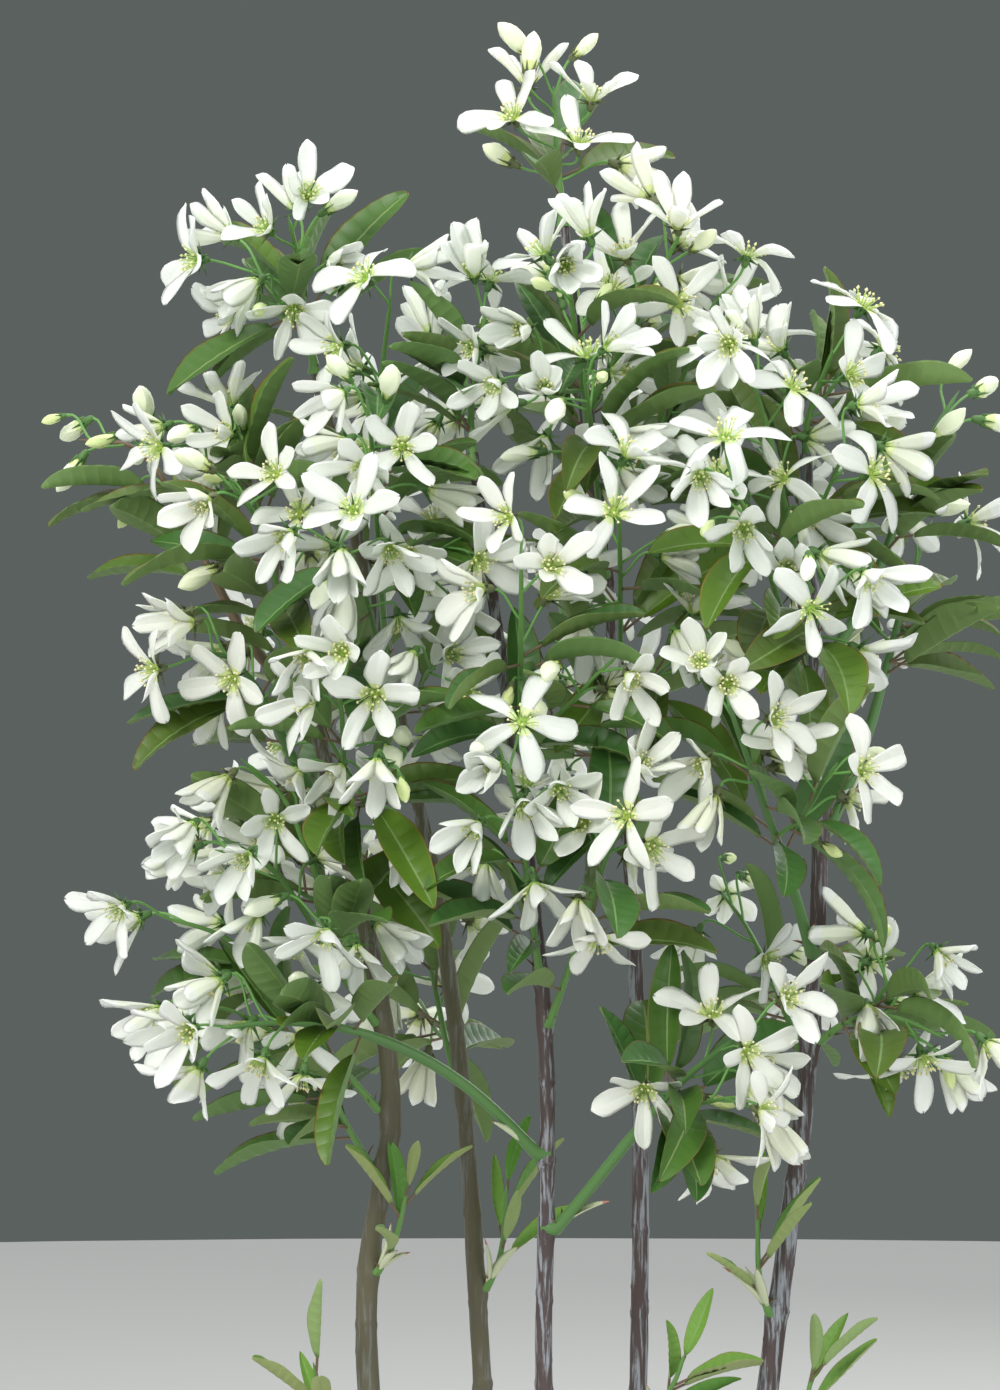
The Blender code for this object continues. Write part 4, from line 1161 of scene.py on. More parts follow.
BARK_SIDES = 26
BARK_STEP = 0.0011
FINE_STEPS = 24
RIDGES = (420.0, 420.0, 60.0)
LUMPS = (95.0, 95.0, 55.0)
LUMP_SHARE = 0.9
RING_SPACING = (0.024, 0.040)
RING_RISE = 0.00045
RING_RANGE = (0.4, 1)
RING_WIDTH = 0.0011
RING_TILT = 0.0012
RING_TURN = 900
PORES = 150
PORE_SIZE = (0.00035, 0.0009)
PORE_RANGE = (0.7, 1.4)
PORE_RISE = 0.00022
COLLAR_RISE = 0.0011
COLLAR_REACH = 0.0042
STEM_POINT = 0.0012

# The root crown. Its grain has two scales, and its spokes are low ridges that run outwards.
CROWN_RINGS = 46
CROWN_SPOKES = 110
CROWN_SHOULDER = 0.8
FILLET_RISE = 0.012
FILLET_WIDTH = 0.0034
FINE_GRAIN = 240
COARSE_GRAIN = 90
COARSE_SHARE = 0.8
GRAIN_RISE = 2.5
SPOKE_GRAIN = 5
SPOKE_LENGTH = 40
CROWN_RIDGE = 0.0022

# Each bark's ground and warmer mottling as tints of the dark ground, its cover of flecks, and the height
# below which it grows smoother
BARKS = {
    "dark": ((1, 1, 1), (1.9, 1.7, 1.5), 0.72, None),
    "olive": ((1.7, 2.0, 1.1), (2.6, 3.3, 1.7), 0.60, 0.36),
    "crown": ((1.1, 1.05, 0.9), (2.2, 1.9, 1.5), 0.36, None),
}


def bark_tube(stem, grown, relief):
    """A stem's skin, with ridges, old bud rings, pores, and a collar under each shoot."""
    path = stem_path(stem, FINE_STEPS)
    path = stretch_of(path, 0, 1, round(lengths_along(path)[-1] / BARK_STEP))
    rng = random.Random(stem.name + " bark")
    turns = [2 * math.pi * n / BARK_SIDES for n in range(BARK_SIDES)]
    places = np.repeat(np.array(path), BARK_SIDES, axis=0)
    ways = np.array([way_round(*axes, turn) for axes in ring_axes(path) for turn in turns])
    heights = places[:, 2]
    radii = np.array([stem_radius(stem, height) for height in heights])
    foot = np.clip(1 - heights / STUB_TOP, 0, 1)
    radii = radii * (1 + (STUB_FLARE - 1) * foot**2)
    skin = places + ways * radii[:, None]
    rise = np.array([
        noise.noise(Vector(ridge)) + LUMP_SHARE * noise.noise(Vector(lump))
        for ridge, lump in zip(skin * np.array(RIDGES), skin * np.array(LUMPS))
    ]) * relief
    around = np.arange(len(heights)) % BARK_SIDES / BARK_SIDES * 2 * math.pi
    ring = rng.uniform(*RING_SPACING)
    while ring < stem.tip[2]:
        tilt = RING_TILT * np.sin(around + ring * RING_TURN)
        rise += RING_RISE * rng.uniform(*RING_RANGE) * np.exp(-(((heights - ring + tilt) / RING_WIDTH) ** 2))
        ring += rng.uniform(*RING_SPACING)
    for _ in range(PORES):
        at = skin[rng.randrange(len(skin))]
        width, height = PORE_SIZE
        away = (skin - at) / np.array((width, width, height)) / rng.uniform(*PORE_RANGE)
        rise += PORE_RISE * np.exp(-(away**2).sum(1))
    for growth in grown:
        if growth.shoot.stem == stem.name and growth.shoot.height:
            joint = (growth.bough or growth.twigs[0])[0]
            away = np.sqrt(((skin - np.array(joint)) ** 2).sum(1)) / COLLAR_REACH
            rise += COLLAR_RISE * np.exp(-(away**2))
    skin = skin + ways * rise[:, None]
    last = len(skin)
    skin = np.vstack([skin, np.array(path[-1]) + np.array((0, 0, STEM_POINT))])
    faces = ring_faces(len(path), BARK_SIDES) + fan(last - BARK_SIDES, BARK_SIDES, last)
    faces.append(tuple(range(BARK_SIDES))[::-1])
    return skin, faces


def crown_skin(relief):
    """The low root crown, drawn up round each stem's foot, with a flat underside."""
    points = []
    feet = [(Vector(stem.foot), stem_radius(stem, 0) * STUB_FLARE) for stem in STEMS]
    for k in range(1, CROWN_RINGS + 1):
        share = k / CROWN_RINGS
        for n in range(CROWN_SPOKES):
            angle = 2 * math.pi * n / CROWN_SPOKES
            lobe = 1 + LOBE_DEPTH * math.cos(CROWN_LOBES * angle + LOBE_TURN) * share
            reach = CROWN_RADIUS * lobe * math.sin(share * math.pi / 2)
            x, y = reach * math.cos(angle), reach * CROWN_DEPTH * math.sin(angle)
            height = CROWN_HEIGHT * math.cos(share * math.pi / 2) ** CROWN_SHOULDER
            for foot, radius in feet:
                away = max((Vector((x, y)) - foot).length - radius, 0)
                height += FILLET_RISE * math.exp(-away / FILLET_WIDTH) * (1 - share**4)
            place = Vector((x, y, height))
            grain = noise.noise(place * FINE_GRAIN) + COARSE_SHARE * noise.noise(place * COARSE_GRAIN)
            spoke = (math.cos(angle) * SPOKE_GRAIN, math.sin(angle) * SPOKE_GRAIN, reach * SPOKE_LENGTH)
            ridge = noise.noise(Vector(spoke))
            height = max(height + (grain * relief * GRAIN_RISE + ridge * CROWN_RIDGE) * (1 - share**6), 0)
            points.append(Vector((x, y, height if k < CROWN_RINGS else 0)))
    top = len(points)
    points.append(sum(points[:CROWN_SPOKES], Vector()) / CROWN_SPOKES)
    faces = [(a, d, c, b) for a, b, c, d in ring_faces(CROWN_RINGS, CROWN_SPOKES)]
    faces += fan(0, CROWN_SPOKES, top)
    faces.append(tuple(range(top - CROWN_SPOKES, top))[::-1])
    return points, faces


class BuildBark(bpy.types.Operator):
    """Build the root crown's and the stems' bark"""

    bl_idname = "shrub.bark"
    bl_label = "Bark"

    def execute(self, context):
        _, grown = shrub()
        group, dark, relief = bark_group(), colours().bark, sizes().bark_relief
        finishes = {
            kind: bark_finish(
                kind + " bark", group, tinted(dark, *ground), tinted(dark, *warm), colours().fleck, *rest
            )
            for kind, (ground, warm, *rest) in BARKS.items()
        }
        crown = linked(plain_object("crown_bark", *crown_skin(relief), [finishes["crown"]]))
        in_scene(crown, "bark", "root_crown")
        for stem in STEMS:
            finish = finishes["olive" if "left" in stem.name else "dark"]
            name = stem.name.replace("stem", "bark")
            made = linked(plain_object(name, *bark_tube(stem, grown, relief), [finish]))
            in_scene(made, "bark", stem.name)
        return {"FINISHED"}


# Shoots, stalks and pedicels, with girths as shares of a stalk's girth or a pedicel's

SHOOT_SIDES = 10
PEDICEL_SIDES = 5
TWIG_STEPS = 4
ROOTED = 0.003
STALK_FOOT = 1.25
STALK_TIP = 0.62
STALK_TAPER = 0.8
STALK_POINT = 0.22
FLARE = 0.75
FLARE_LENGTH = 0.004
FORK_GIRTHS = (0.8, 0.5)
PEDICEL_BEND = 0.36
PEDICEL_GIRTHS = (1.25, 1, 1, 1, 1, 1, 1.35)
PETIOLE_GIRTHS = (1.6, 1.05, 1.05, 1.05, 1.05, 1.05, 1.05)
PETIOLE_REACH = 1.04
UNDER_FLOWER = 0.9
UNDER_BUD = 0.6


def bent(start, leaving, end, arriving):
    """A curve that leaves one way and arrives another, with a point for each of a stalk's girths."""
    span = (end - start).length
    first, second = start + leaving * span * PEDICEL_BEND, end - arriving * span * PEDICEL_BEND
    return curve_between(start, first, second, end, len(PEDICEL_GIRTHS) - 1)


def foot_on(twigs, point):
    """The point of the twigs that lies nearest to this one."""
    best = None
    for twig in twigs:
        for a, b in zip(twig, twig[1:]):
            along = b - a
            t = min(max((point - a).dot(along) / along.length_squared, 0), 1)
            found = a + along * t
            if best is None or (found - point).length < best[0]:
                best = ((found - point).length, found)
    return best[1]


def visible_twigs(growth, stems):
    """A shoot's bough and stalk as one smooth line out of its stem, then its forks."""
    shoot = growth.shoot
    stalk, *forks = growth.twigs
    if shoot.height:
        path = stems[shoot.stem]
        root = point_at(path, share_at_height(path, shoot.height))[0]
    else:
        root = stalk[0] - Vector((0, 0, ROOTED))
    if growth.bough:
        stalk = growth.bough[:-1] + stalk
    return [[root] + smooth_path(stalk, TWIG_STEPS)] + [smooth_path(fork, TWIG_STEPS) for fork in forks]


class BuildShoots(bpy.types.Operator):
    """Build the green boughs, the racemes' stalks and their forks"""

    bl_idname = "shrub.shoots"
    bl_label = "Shoots"

    def execute(self, context):
        stems, grown = shrub()
        girth = sizes().stalk_girth / 2
        finishes = [
            plain_finish("green shoot", (0.090, 0.205, 0.058), 0.45),
            plain_finish("russet shoot", (0.150, 0.105, 0.060), 0.5),
            plain_finish("stalk green", (0.120, 0.265, 0.065), 0.45),
        ]
        bough_green, russet, stalk_green = range(3)
        lines = []
        for growth in grown:
            main, *forks = visible_twigs(growth, stems)
            runs = lengths_along(main)
            foot = BOUGH_RADIUS if growth.bough else girth * STALK_FOOT
            radii = []
            for run in runs:
                share = max(run - growth.shoot.bare, 0) / (runs[-1] - growth.shoot.bare)
                radius = foot + (girth * STALK_TIP - foot) * share**STALK_TAPER
                radii.append(radius * (1 + FLARE * math.exp(-run / FLARE_LENGTH)))
            tone = bough_green if growth.bough else stalk_green
            lines.append(Line(main, radii, russet if growth.shoot.name == STILL_IN_BUD else tone))
            for fork in forks:
                radii = even_radii(*(girth * share for share in FORK_GIRTHS), len(fork))
                lines.append(Line(fork, radii, stalk_green))
        for line in lines:
            line.radii[-1] *= STALK_POINT
        made = tubes("green_shoots", lines, finishes, SHOOT_SIDES)
        boughs = [growth.shoot.name + "_bough" for growth in grown if growth.bough]
        in_scene(made, "green_shoot", *boughs)
        return {"FINISHED"}


class BuildPedicels(bpy.types.Operator):
    """Build the fine stalks of flowers, buds and leaves"""

    bl_idname = "shrub.pedicels"
    bl_label = "Pedicels"

    def execute(self, context):
        stems, grown = shrub()
        radius = sizes().pedicel_girth / 2
        finishes = [
            plain_finish("pedicel green", (0.140, 0.330, 0.080), 0.5),
            plain_finish("petiole russet", (0.170, 0.120, 0.070), 0.5),
        ]
        pedicel_green, petiole_russet = range(2)
        lines = []
        for growth in grown:
            twigs = visible_twigs(growth, stems)
            for flower in growth.flowers:
                leaving = (flower.centre - flower.root).normalized()
                share = UNDER_BUD if flower.bud else UNDER_FLOWER
                under = flower.centre - flower.facing * CALYX_DEPTH * share
                path = bent(foot_on(twigs, flower.root), leaving, under, flower.facing)
                lines.append(Line(path, [radius * girth for girth in PEDICEL_GIRTHS], pedicel_green))
            for leaf in growth.leaves:
                along = leaf.direction
                start = leaf.root + along * PETIOLE_LENGTH * leaf.length / LEAF_LENGTH * PETIOLE_REACH
                path = bent(foot_on(twigs, leaf.root), along, start, along)
                lines.append(Line(path, [radius * girth for girth in PETIOLE_GIRTHS], petiole_russet))
        made = tubes("pedicels", lines, finishes, PEDICEL_SIDES)
        in_scene(made, "green_shoot")
        return {"FINISHED"}


# Petals. Rows and columns are shares of a petal's length and half width. An arch bends it back,
# and a cup raises its edges. A closing flower loses arch and twist, and its petals' backs turn creamy.

PETAL_ROWS = (0.0, 0.07, 0.17, 0.30, 0.45, 0.60, 0.74, 0.86, 0.95, 1.0)
PETAL_COLUMNS = (-1.0, -0.66, -0.33, 0.0, 0.33, 0.66, 1.0)
PETAL_FOOT = 0.17
PETAL_VEIN = 0.00009
PETAL_FULLNESS = 1.48
PETAL_SWELL = 0.55
PETAL_ROUNDNESS = 3.4
LEAST_FOOT = 0.15
LEAST_TIP = 0.20
PETAL_START = (0.0010, 0.0015)
PETAL_LENGTHS = (0.84, 1.06)
PETAL_WIDTHS = (0.72, 1.10)
HEART_RISE = 0.0002
ARCHES = (-0.35, 0.1, 0.3, 0.5, 0.75, 1.15)
ARCH_RANGE = (0.7, 1.2)
ARCH_LOST = 0.8
CUP_RANGE = (0.05, 0.45)
CUP_GAINED = 0.35
TWIST = 1.0
TWIST_LOST = 0.5
SWAY = 0.26
FOOT_TILT = 0.30
FOOT_TILT_LOST = 0.75
FULL_WAVE = 6.3
RUFFLE_RANGE = (0.03, 0.15)
RUFFLE_WAVES = 9
RUFFLE_LAG = 1.7
UNEVEN = 0.9
EDGE_WAVES = 8
SIDE_LAG = 3.0
ROUNDED_END = 0.022
ROUNDED_FROM = 0.9
NICKS = (0.0, 0.0, 0.03, 0.06)
NICK_NARROWNESS = 2.2
NICKED_FROM = 0.98
CREAMY_BELOW = 0.47
CREAMY_GAINED = 0.45
WHITE, CREAM, FOOT, HEART, CALYX, ANTHER, FILAMENT = range(7)


def petal_breadth(share):
    """How wide a petal is at a share of its length: narrow foot, widest past its middle, round tip."""
    rounded = math.sqrt(max(1 - share**PETAL_ROUNDNESS, 0))
    return max(PETAL_FULLNESS * share**PETAL_SWELL * rounded, LEAST_FOOT if share < 0.5 else LEAST_TIP)


def petal(shape, middle, lift, closed, settings, rng):
    """One petal out from the heart at an angle, arched, cupped, twisted and a little ruffled."""
    arch = rng.choice(ARCHES) * rng.uniform(*ARCH_RANGE) * (1 - ARCH_LOST * closed)
    cup = rng.uniform(*CUP_RANGE) + CUP_GAINED * closed
    twist, sway = rng.uniform(-TWIST, TWIST) * (1 - TWIST_LOST * closed), rng.uniform(-SWAY, SWAY)
    ruffle, phase = rng.uniform(*RUFFLE_RANGE), rng.uniform(0, FULL_WAVE)
    nick = rng.choice(NICKS)
    length = settings.petal_length * rng.uniform(*PETAL_LENGTHS)
    width = settings.petal_width * rng.uniform(*PETAL_WIDTHS)
    way, sideways = level_way(middle), Vector((-math.sin(middle), math.cos(middle), 0))
    top, under = [], []
    place = way * rng.uniform(*PETAL_START) + Vector((0, 0, HEART_RISE))
    before = 0.0
    for share in PETAL_ROWS:
        tilt = lift + (FOOT_TILT - FOOT_TILT_LOST * closed) * (1 - share) ** 2 - arch * share
        ahead = way * math.cos(tilt) + Vector((0, 0, math.sin(tilt))) + sideways * sway * share
        place = place + ahead * length * (share - before)
        before = share
        up = Vector((0, 0, math.cos(tilt))) - way * math.sin(tilt)
        beside, normal = turned(sideways, up, twist * share)
        for n, column in enumerate(PETAL_COLUMNS):
            lag = SIDE_LAG if column > 0 else 0.0
            uneven = 1 + UNEVEN * ruffle * math.sin(share * EDGE_WAVES + phase + lag)
            half = petal_breadth(share) * width / 2 * uneven
            rippled = math.sin(share * RUFFLE_WAVES + phase + column * RUFFLE_LAG)
            raised = cup * column * column * half - PETAL_VEIN * (n % 2) * math.sin(math.pi * share)
            raised += ruffle * half * rippled * abs(column)
            rounding = -ROUNDED_END * column * column * (share > ROUNDED_FROM)
            rounding -= nick * max(1 - abs(column) * NICK_NARROWNESS, 0) * (share > NICKED_FROM)
            point = place + beside * column * half + normal * raised + ahead * length * rounding
            depth = settings.petal_thickness * (1 - column * column)
            top.append(point + normal * depth / 2)
            under.append(point - normal * depth / 2)
    wide, rows = len(PETAL_COLUMNS), len(PETAL_ROWS)
    creamy_below = CREAMY_BELOW + CREAMY_GAINED * closed

    def finishes_at(r, c):
        end = PETAL_ROWS[r + 1]
        if end <= PETAL_FOOT:
            return [FOOT, FOOT]
        return [WHITE, CREAM if end <= creamy_below else WHITE]

    points, faces, finishes, lower = thin_shell(top, under, wide, finishes_at, False)
    veins = [(r * wide + c, (r + 1) * wide + c) for c in range(1, wide, 2) for r in range(1, rows - 2)]
    veins += [(lower[a], lower[b]) for a, b in veins]
    shape.add(points, faces, finishes, veins)


# Stamens, styles, sepals and the calyx. Stamens' leans are in degrees, rings are heights and radii.

TRIANGLE = (0, 2.094, 4.189)
SQUARE = (0, 1.571, 3.142, 4.712)
STAMEN_LENGTH = (0.0036, 0.0050)
OUTER_LEAN = (32, 56)
INNER_LEAN = (6, 30)
CLOSED_LEAN_LOST = 0.75
OUTER_FOOT = 0.0015
INNER_FOOT = 0.0010
FILAMENT_GIRTHS = (0.00020, 0.00012)
ANTHER_LENGTH = 0.00066
ANTHER_RANGE = (0.8, 1.2)
ANTHER_GIRTH = 0.00050
STYLES = 4
STYLE_TURN = 1.6
STYLE_FOOT = 0.0003
STYLE_SPREAD = 0.0010
STYLE_HEIGHT = 0.0046
STYLE_GIRTH = 0.00020
CALYX_RINGS = ((-0.0036, 0.0006), (-0.0027, 0.0012), (-0.0012, 0.0014), (0.0002, 0.0017), (0.0005, 0.0009))
CALYX_SIDES = 8
SEPAL_OUT = 0.0014
SEPAL_DOWN = 0.0006
SEPAL_LENGTH = 0.0046
SEPAL_RANGE = (0.85, 1.1)
SEPAL_GIRTH = 0.00062
SEPAL_TURN = 0.15
SEPAL_LIFT = 0.8
SEPAL_FALL = math.radians(24)
SEPAL_STRAY = (-0.3, 0.2)
SEPAL_ON_BUD = math.radians(74)


def ring_at(middle, ahead, angles, girth):
    """Points round a middle, square to the way ahead."""
    side, other = across(ahead)
    return [middle + way_round(side, other, angle) * girth for angle in angles]


def spike(shape, foot, tip, girth, finish):
    """A slender three-sided spike, as a sepal or a style."""
    ring = ring_at(foot, (tip - foot).normalized(), TRIANGLE, girth)
    shape.add([*ring, tip], fan(0, 3, 3) + [(2, 1, 0)], finish)


def stamen(shape, foot, tip, rng):
    """A thin filament with an anther on its end."""
    ahead = (tip - foot).normalized()
    thick, thin = FILAMENT_GIRTHS
    rings = ring_at(foot, ahead, TRIANGLE, thick) + ring_at(tip, ahead, TRIANGLE, thin)
    shape.add(rings, ring_faces(2, 3), FILAMENT)
    span = ANTHER_LENGTH * rng.uniform(*ANTHER_RANGE)
    belt = ring_at(tip, ahead, SQUARE, ANTHER_GIRTH)
    faces = fan(0, 4, 5) + [(b, a, end) for a, b, end in fan(0, 4, 4)]
    shape.add([*belt, tip - ahead * span, tip + ahead * span], faces, ANTHER)


def calyx(shape, lift, bud, rng):
    """The green cup under a flower with its five pointed sepals."""
    sides, rings = CALYX_SIDES, len(CALYX_RINGS)
    points = []
    for height, radius in CALYX_RINGS:
        for n in range(sides):
            angle = 2 * math.pi * n / sides
            points.append((radius * math.cos(angle), radius * math.sin(angle), height))
    ends = [tuple(range(sides))[::-1], tuple(range(len(points) - sides, len(points)))]
    finishes = [CALYX] * (sides * (rings - 2)) + [HEART] * sides + [CALYX, HEART]
    shape.add(points, ring_faces(rings, sides) + ends, finishes)
    for n in range(PETALS):
        way = level_way(math.pi * (2 * n + 1) / PETALS + rng.uniform(-SEPAL_TURN, SEPAL_TURN))
        tilt = SEPAL_ON_BUD if bud else lift * SEPAL_LIFT - SEPAL_FALL + rng.uniform(*SEPAL_STRAY)
        foot = way * SEPAL_OUT - Vector((0, 0, SEPAL_DOWN))
        length = SEPAL_LENGTH * rng.uniform(*SEPAL_RANGE)
        tip = foot + (way * math.cos(tilt) + Vector((0, 0, math.sin(tilt)))) * length
        spike(shape, foot, tip, SEPAL_GIRTH, CALYX)


# Whole flowers and buds. A bud's rings are shares of its length and of its breadth.

BELL_SHAPED = math.radians(80)
OPEN_STEPS = 5
VARIANTS = 4
PETAL_TURN = 0.18
LIFT_STRAY = 0.26
STRAY_LOST = 0.16
BUD_KINDS = 6
GREEN_BUDS = 2
BUD_SIDES = 12
BUD_WRAPS = 3
BUD_RINGS = (
    (0.0, 0.40), (0.09, 0.62), (0.24, 0.84), (0.42, 0.98),
    (0.60, 1.0), (0.76, 0.82), (0.89, 0.50), (0.97, 0.20),
)
BUD_PLUMPNESS = (0.74, 0.92)
BUD_LEAN = 0.12
BUD_TURN = 1.2
WRAP_OUT = 1.09
WRAP_DEPTH = 0.22
BUD_POINT = 1.01
GREEN_BUD_SIZES = (0.55, 0.80)
BUD_SIZES = (0.80, 1.12)


def flower_template(number, share, settings):
    """A whole flower that looks along +Z, from wide open at a share of nought to bell-shaped at one."""
    rng = random.Random(f"flower {number}")
    shape = Shape()
    lift = WIDE_OPEN + (BELL_SHAPED - WIDE_OPEN) * share
    stray = LIFT_STRAY - STRAY_LOST * share
    for k in range(PETALS):
        middle = 2 * math.pi * k / PETALS + rng.uniform(-PETAL_TURN, PETAL_TURN)
        petal(shape, middle, lift + rng.uniform(-stray, stray), share, settings, rng)
    calyx(shape, lift, False, rng)
    for k in range(settings.stamens):
        outer = k % 3
        leans, out = (OUTER_LEAN, OUTER_FOOT) if outer else (INNER_LEAN, INNER_FOOT)
        lean = math.radians(rng.uniform(*leans)) * (1 - CLOSED_LEAN_LOST * share)
        way = level_way(GOLDEN_ANGLE * k)
        foot = way * out + Vector((0, 0, HEART_RISE))
        length = rng.uniform(*STAMEN_LENGTH)
        stamen(shape, foot, foot + (way * math.sin(lean) + Vector((0, 0, math.cos(lean)))) * length, rng)
    for k in range(STYLES):
        way = level_way(STYLE_TURN * k)
        tip = way * STYLE_SPREAD + Vector((0, 0, STYLE_HEIGHT))
        spike(shape, way * STYLE_FOOT, tip, STYLE_GIRTH, FILAMENT)
    return shape.template(f"flower_{number:02d}")


def bud_template(number):
    """A slim closed bud along +Z, its petals wrapped round one another; the first few are still green."""
    rng = random.Random(f"bud {number}")
    shape = Shape()
    sides, rings, plump = BUD_SIDES, len(BUD_RINGS), rng.uniform(*BUD_PLUMPNESS)
    lean = Vector((rng.uniform(-BUD_LEAN, BUD_LEAN), rng.uniform(-BUD_LEAN, BUD_LEAN), 0))
    points = []
    for share, breadth in BUD_RINGS:
        for n in range(sides):
            angle = 2 * math.pi * n / sides + share * BUD_TURN
            wrap = WRAP_OUT - WRAP_DEPTH * (n * BUD_WRAPS % sides) / sides
            reach = BUD_RADIUS * plump * breadth * wrap
            offset = lean * BUD_LENGTH * share**2
            x, y = reach * math.cos(angle), reach * math.sin(angle)
            points.append(Vector((x, y, BUD_LENGTH * share)) + offset)
    tip = len(points)
    points.append(Vector((0, 0, BUD_LENGTH * BUD_POINT)) + lean * BUD_LENGTH)
    faces = ring_faces(rings, sides) + [tuple(range(sides))[::-1]] + fan(tip - sides, sides, tip)
    foot_faces = 2 * sides if number >= GREEN_BUDS else (rings - 1) * sides
    finishes = [FOOT] * foot_faces + [CREAM] * ((rings - 1) * sides - foot_faces) + [FOOT] + [CREAM] * sides
    lap = sides // BUD_WRAPS
    foot_seams = [n for n in range(sides) if n % lap in (0, lap - 1)]
    seams = [(k * sides + n, (k + 1) * sides + n) for k in range(rings - 1) for n in foot_seams]
    shape.add(points, faces, finishes, seams)
    calyx(shape, 0, True, rng)
    return shape.template(f"bud_{number:02d}")


# Blossom. Each part of a flower has a tone for each kind of spray.

BLOSSOM_TONES = 3
REGIONS = ("left", "middle", "right", "low", "back")
BACK_FROM = 0.015
LOW_UNDER = 0.49
LEFT_TO = -0.045
MIDDLE_TO = 0.035


def blossom_finishes():
    """Finishes by part of the flower and, within each, by spray."""
    white = colours().petal
    whites = (white, tinted(white, 1.0, 0.995, 0.96), tinted(white, 0.975, 0.985, 0.985))
    by_part = (
        ("petal white", 0.6, 0.6, whites),
        ("petal back", 0.6, 0.5, ((0.82, 0.875, 0.66), (0.82, 0.865, 0.63), (0.83, 0.88, 0.71))),
        ("petal foot", 0.6, 0.2, ((0.70, 0.81, 0.38), (0.71, 0.80, 0.36), (0.72, 0.82, 0.43))),
        ("flower heart", 0.6, 0.0, ((0.38, 0.55, 0.08), (0.40, 0.54, 0.09), (0.36, 0.55, 0.08))),
        ("calyx", 0.5, 0.0, ((0.085, 0.190, 0.050), (0.120, 0.140, 0.060), (0.075, 0.165, 0.045))),
        ("anther", 0.7, 0.0, ((0.80, 0.77, 0.42), (0.82, 0.78, 0.48), (0.77, 0.78, 0.40))),
        ("filament", 0.5, 0.0, ((0.52, 0.68, 0.20), (0.50, 0.65, 0.20), (0.50, 0.70, 0.20))),
    )
    return [
        plain_finish(f"{part} {k}", tone, roughness, glow)
        for part, roughness, glow, tones in by_part
        for k, tone in enumerate(tones)
    ]


def facing_turn(facing, roll):
    """The turn that takes +Z to the facing and rolls about it."""
    way = way_round(*across(facing), roll)
    return Matrix((way, facing.cross(way), facing)).transposed()


def spray_tone(shoot, tones):
    return random.Random(shoot.name + " tone").randrange(tones)


def region(shoot):
    """Which joined piece of blossom a shoot's flowers go to."""
    x, y, z = shoot.tip
    if y > BACK_FROM:
        return "back"
    if z < LOW_UNDER:
        return "low"
    return "left" if x < LEFT_TO else "middle" if x < MIDDLE_TO else "right"


class BuildBlossom(bpy.types.Operator):
    """Build the open flowers, joined by region"""

    bl_idname = "shrub.blossom"
    bl_label = "Blossom"

    def execute(self, context):
        _, grown = shrub()
        finishes = blossom_finishes()
        for name in REGIONS:
            spots, nodes = [], []
            for growth in grown:
                if is_tuft(growth) or region(growth.shoot) != name:
                    continue
                nodes.append(growth.shoot.name)
                rng = random.Random(growth.shoot.name + " open")
                tone = spray_tone(growth.shoot, BLOSSOM_TONES)
                for flower in growth.flowers:
                    if not flower.bud:
                        step = round(closedness(flower) * (OPEN_STEPS - 1))
                        kind = step * VARIANTS + rng.randrange(VARIANTS)
                        turn = facing_turn(flower.facing, flower.roll)
                        spots.append(Spot(flower.centre, turn, flower.size / PETAL_LENGTH, kind, tone))
            templates = [
                flower_template(step * VARIANTS + k, step / (OPEN_STEPS - 1), sizes())
                for step in range(OPEN_STEPS)
                for k in range(VARIANTS)
            ]
            made = set_on_points("blossom_" + name, spots, templates, finishes, BLOSSOM_TONES)
            in_scene(made, "blossom", *nodes)
        return {"FINISHED"}


class BuildBuds(bpy.types.Operator):
    """Build the closed buds"""

    bl_idname = "shrub.buds"
    bl_label = "Buds"

    def execute(self, context):
        _, grown = shrub()
        finishes = blossom_finishes()
        spots = []
        for growth in grown:
            rng = random.Random(growth.shoot.name + " closed")
            tone = spray_tone(growth.shoot, BLOSSOM_TONES)
            for flower in growth.flowers:
                if flower.bud:
                    kind = rng.randrange(BUD_KINDS)
                    size = rng.uniform(*(GREEN_BUD_SIZES if kind < GREEN_BUDS else BUD_SIZES))
                    turn = facing_turn(flower.facing, flower.roll)
                    spots.append(Spot(flower.centre, turn, size, kind, tone))
        templates = [bud_template(kind) for kind in range(BUD_KINDS)]
        made = set_on_points("buds", spots, templates, finishes, BLOSSOM_TONES)
        in_scene(made, "blossom")
        return {"FINISHED"}


# Leaves, in shares of their length, with folds in degrees. Columns are shares of the half width, of which
# the narrow middle ones hold the rib, and every second row is pressed in as a side vein.

LEAF_ROWS = 17
LEAF_COLUMNS = (-1.0, -0.93, -0.50, -0.05, 0.05, 0.50, 0.93, 1.0)
LEAF_KINDS = 8
LEAF_TONES = 4
LEAF_BEGINS = 0.012
LEAF_SPAN = 0.965
LEAF_ENDS = 0.985
LEAF_FULLNESS = 2.75
LEAF_SWELL = 0.66
LEAF_TAPER = 0.72
VEIN_DEPTH = 0.027
VEIN_SWEEP = 0.20
RIB_WIDTH = 0.1
RIB_DEPTH = 0.008
RIB_THICKNESS = 0.006
BLADE_THICKNESS = 0.012
LEAF_TWIST = 0.5
TWIST_SHARE = 0.6
LEAF_SWAY = 0.16
LEAF_WAVE = (0.004, 0.014)
LEAF_WAVES = 10
LEAF_LAG = 2
WIDTH_RANGE = (0.74, 1.0)
FOLDS = (14, 40)
YOUNG_FOLDS = (28, 52)
BENDS = (0.1, 0.8)
YOUNG_BENDS = (-0.1, 0.5)
RIB_STEP = 0.05
UNDERSIDE_STEP = 0.06
BLADE, MARGIN, RIB, UNDERSIDE = range(4)


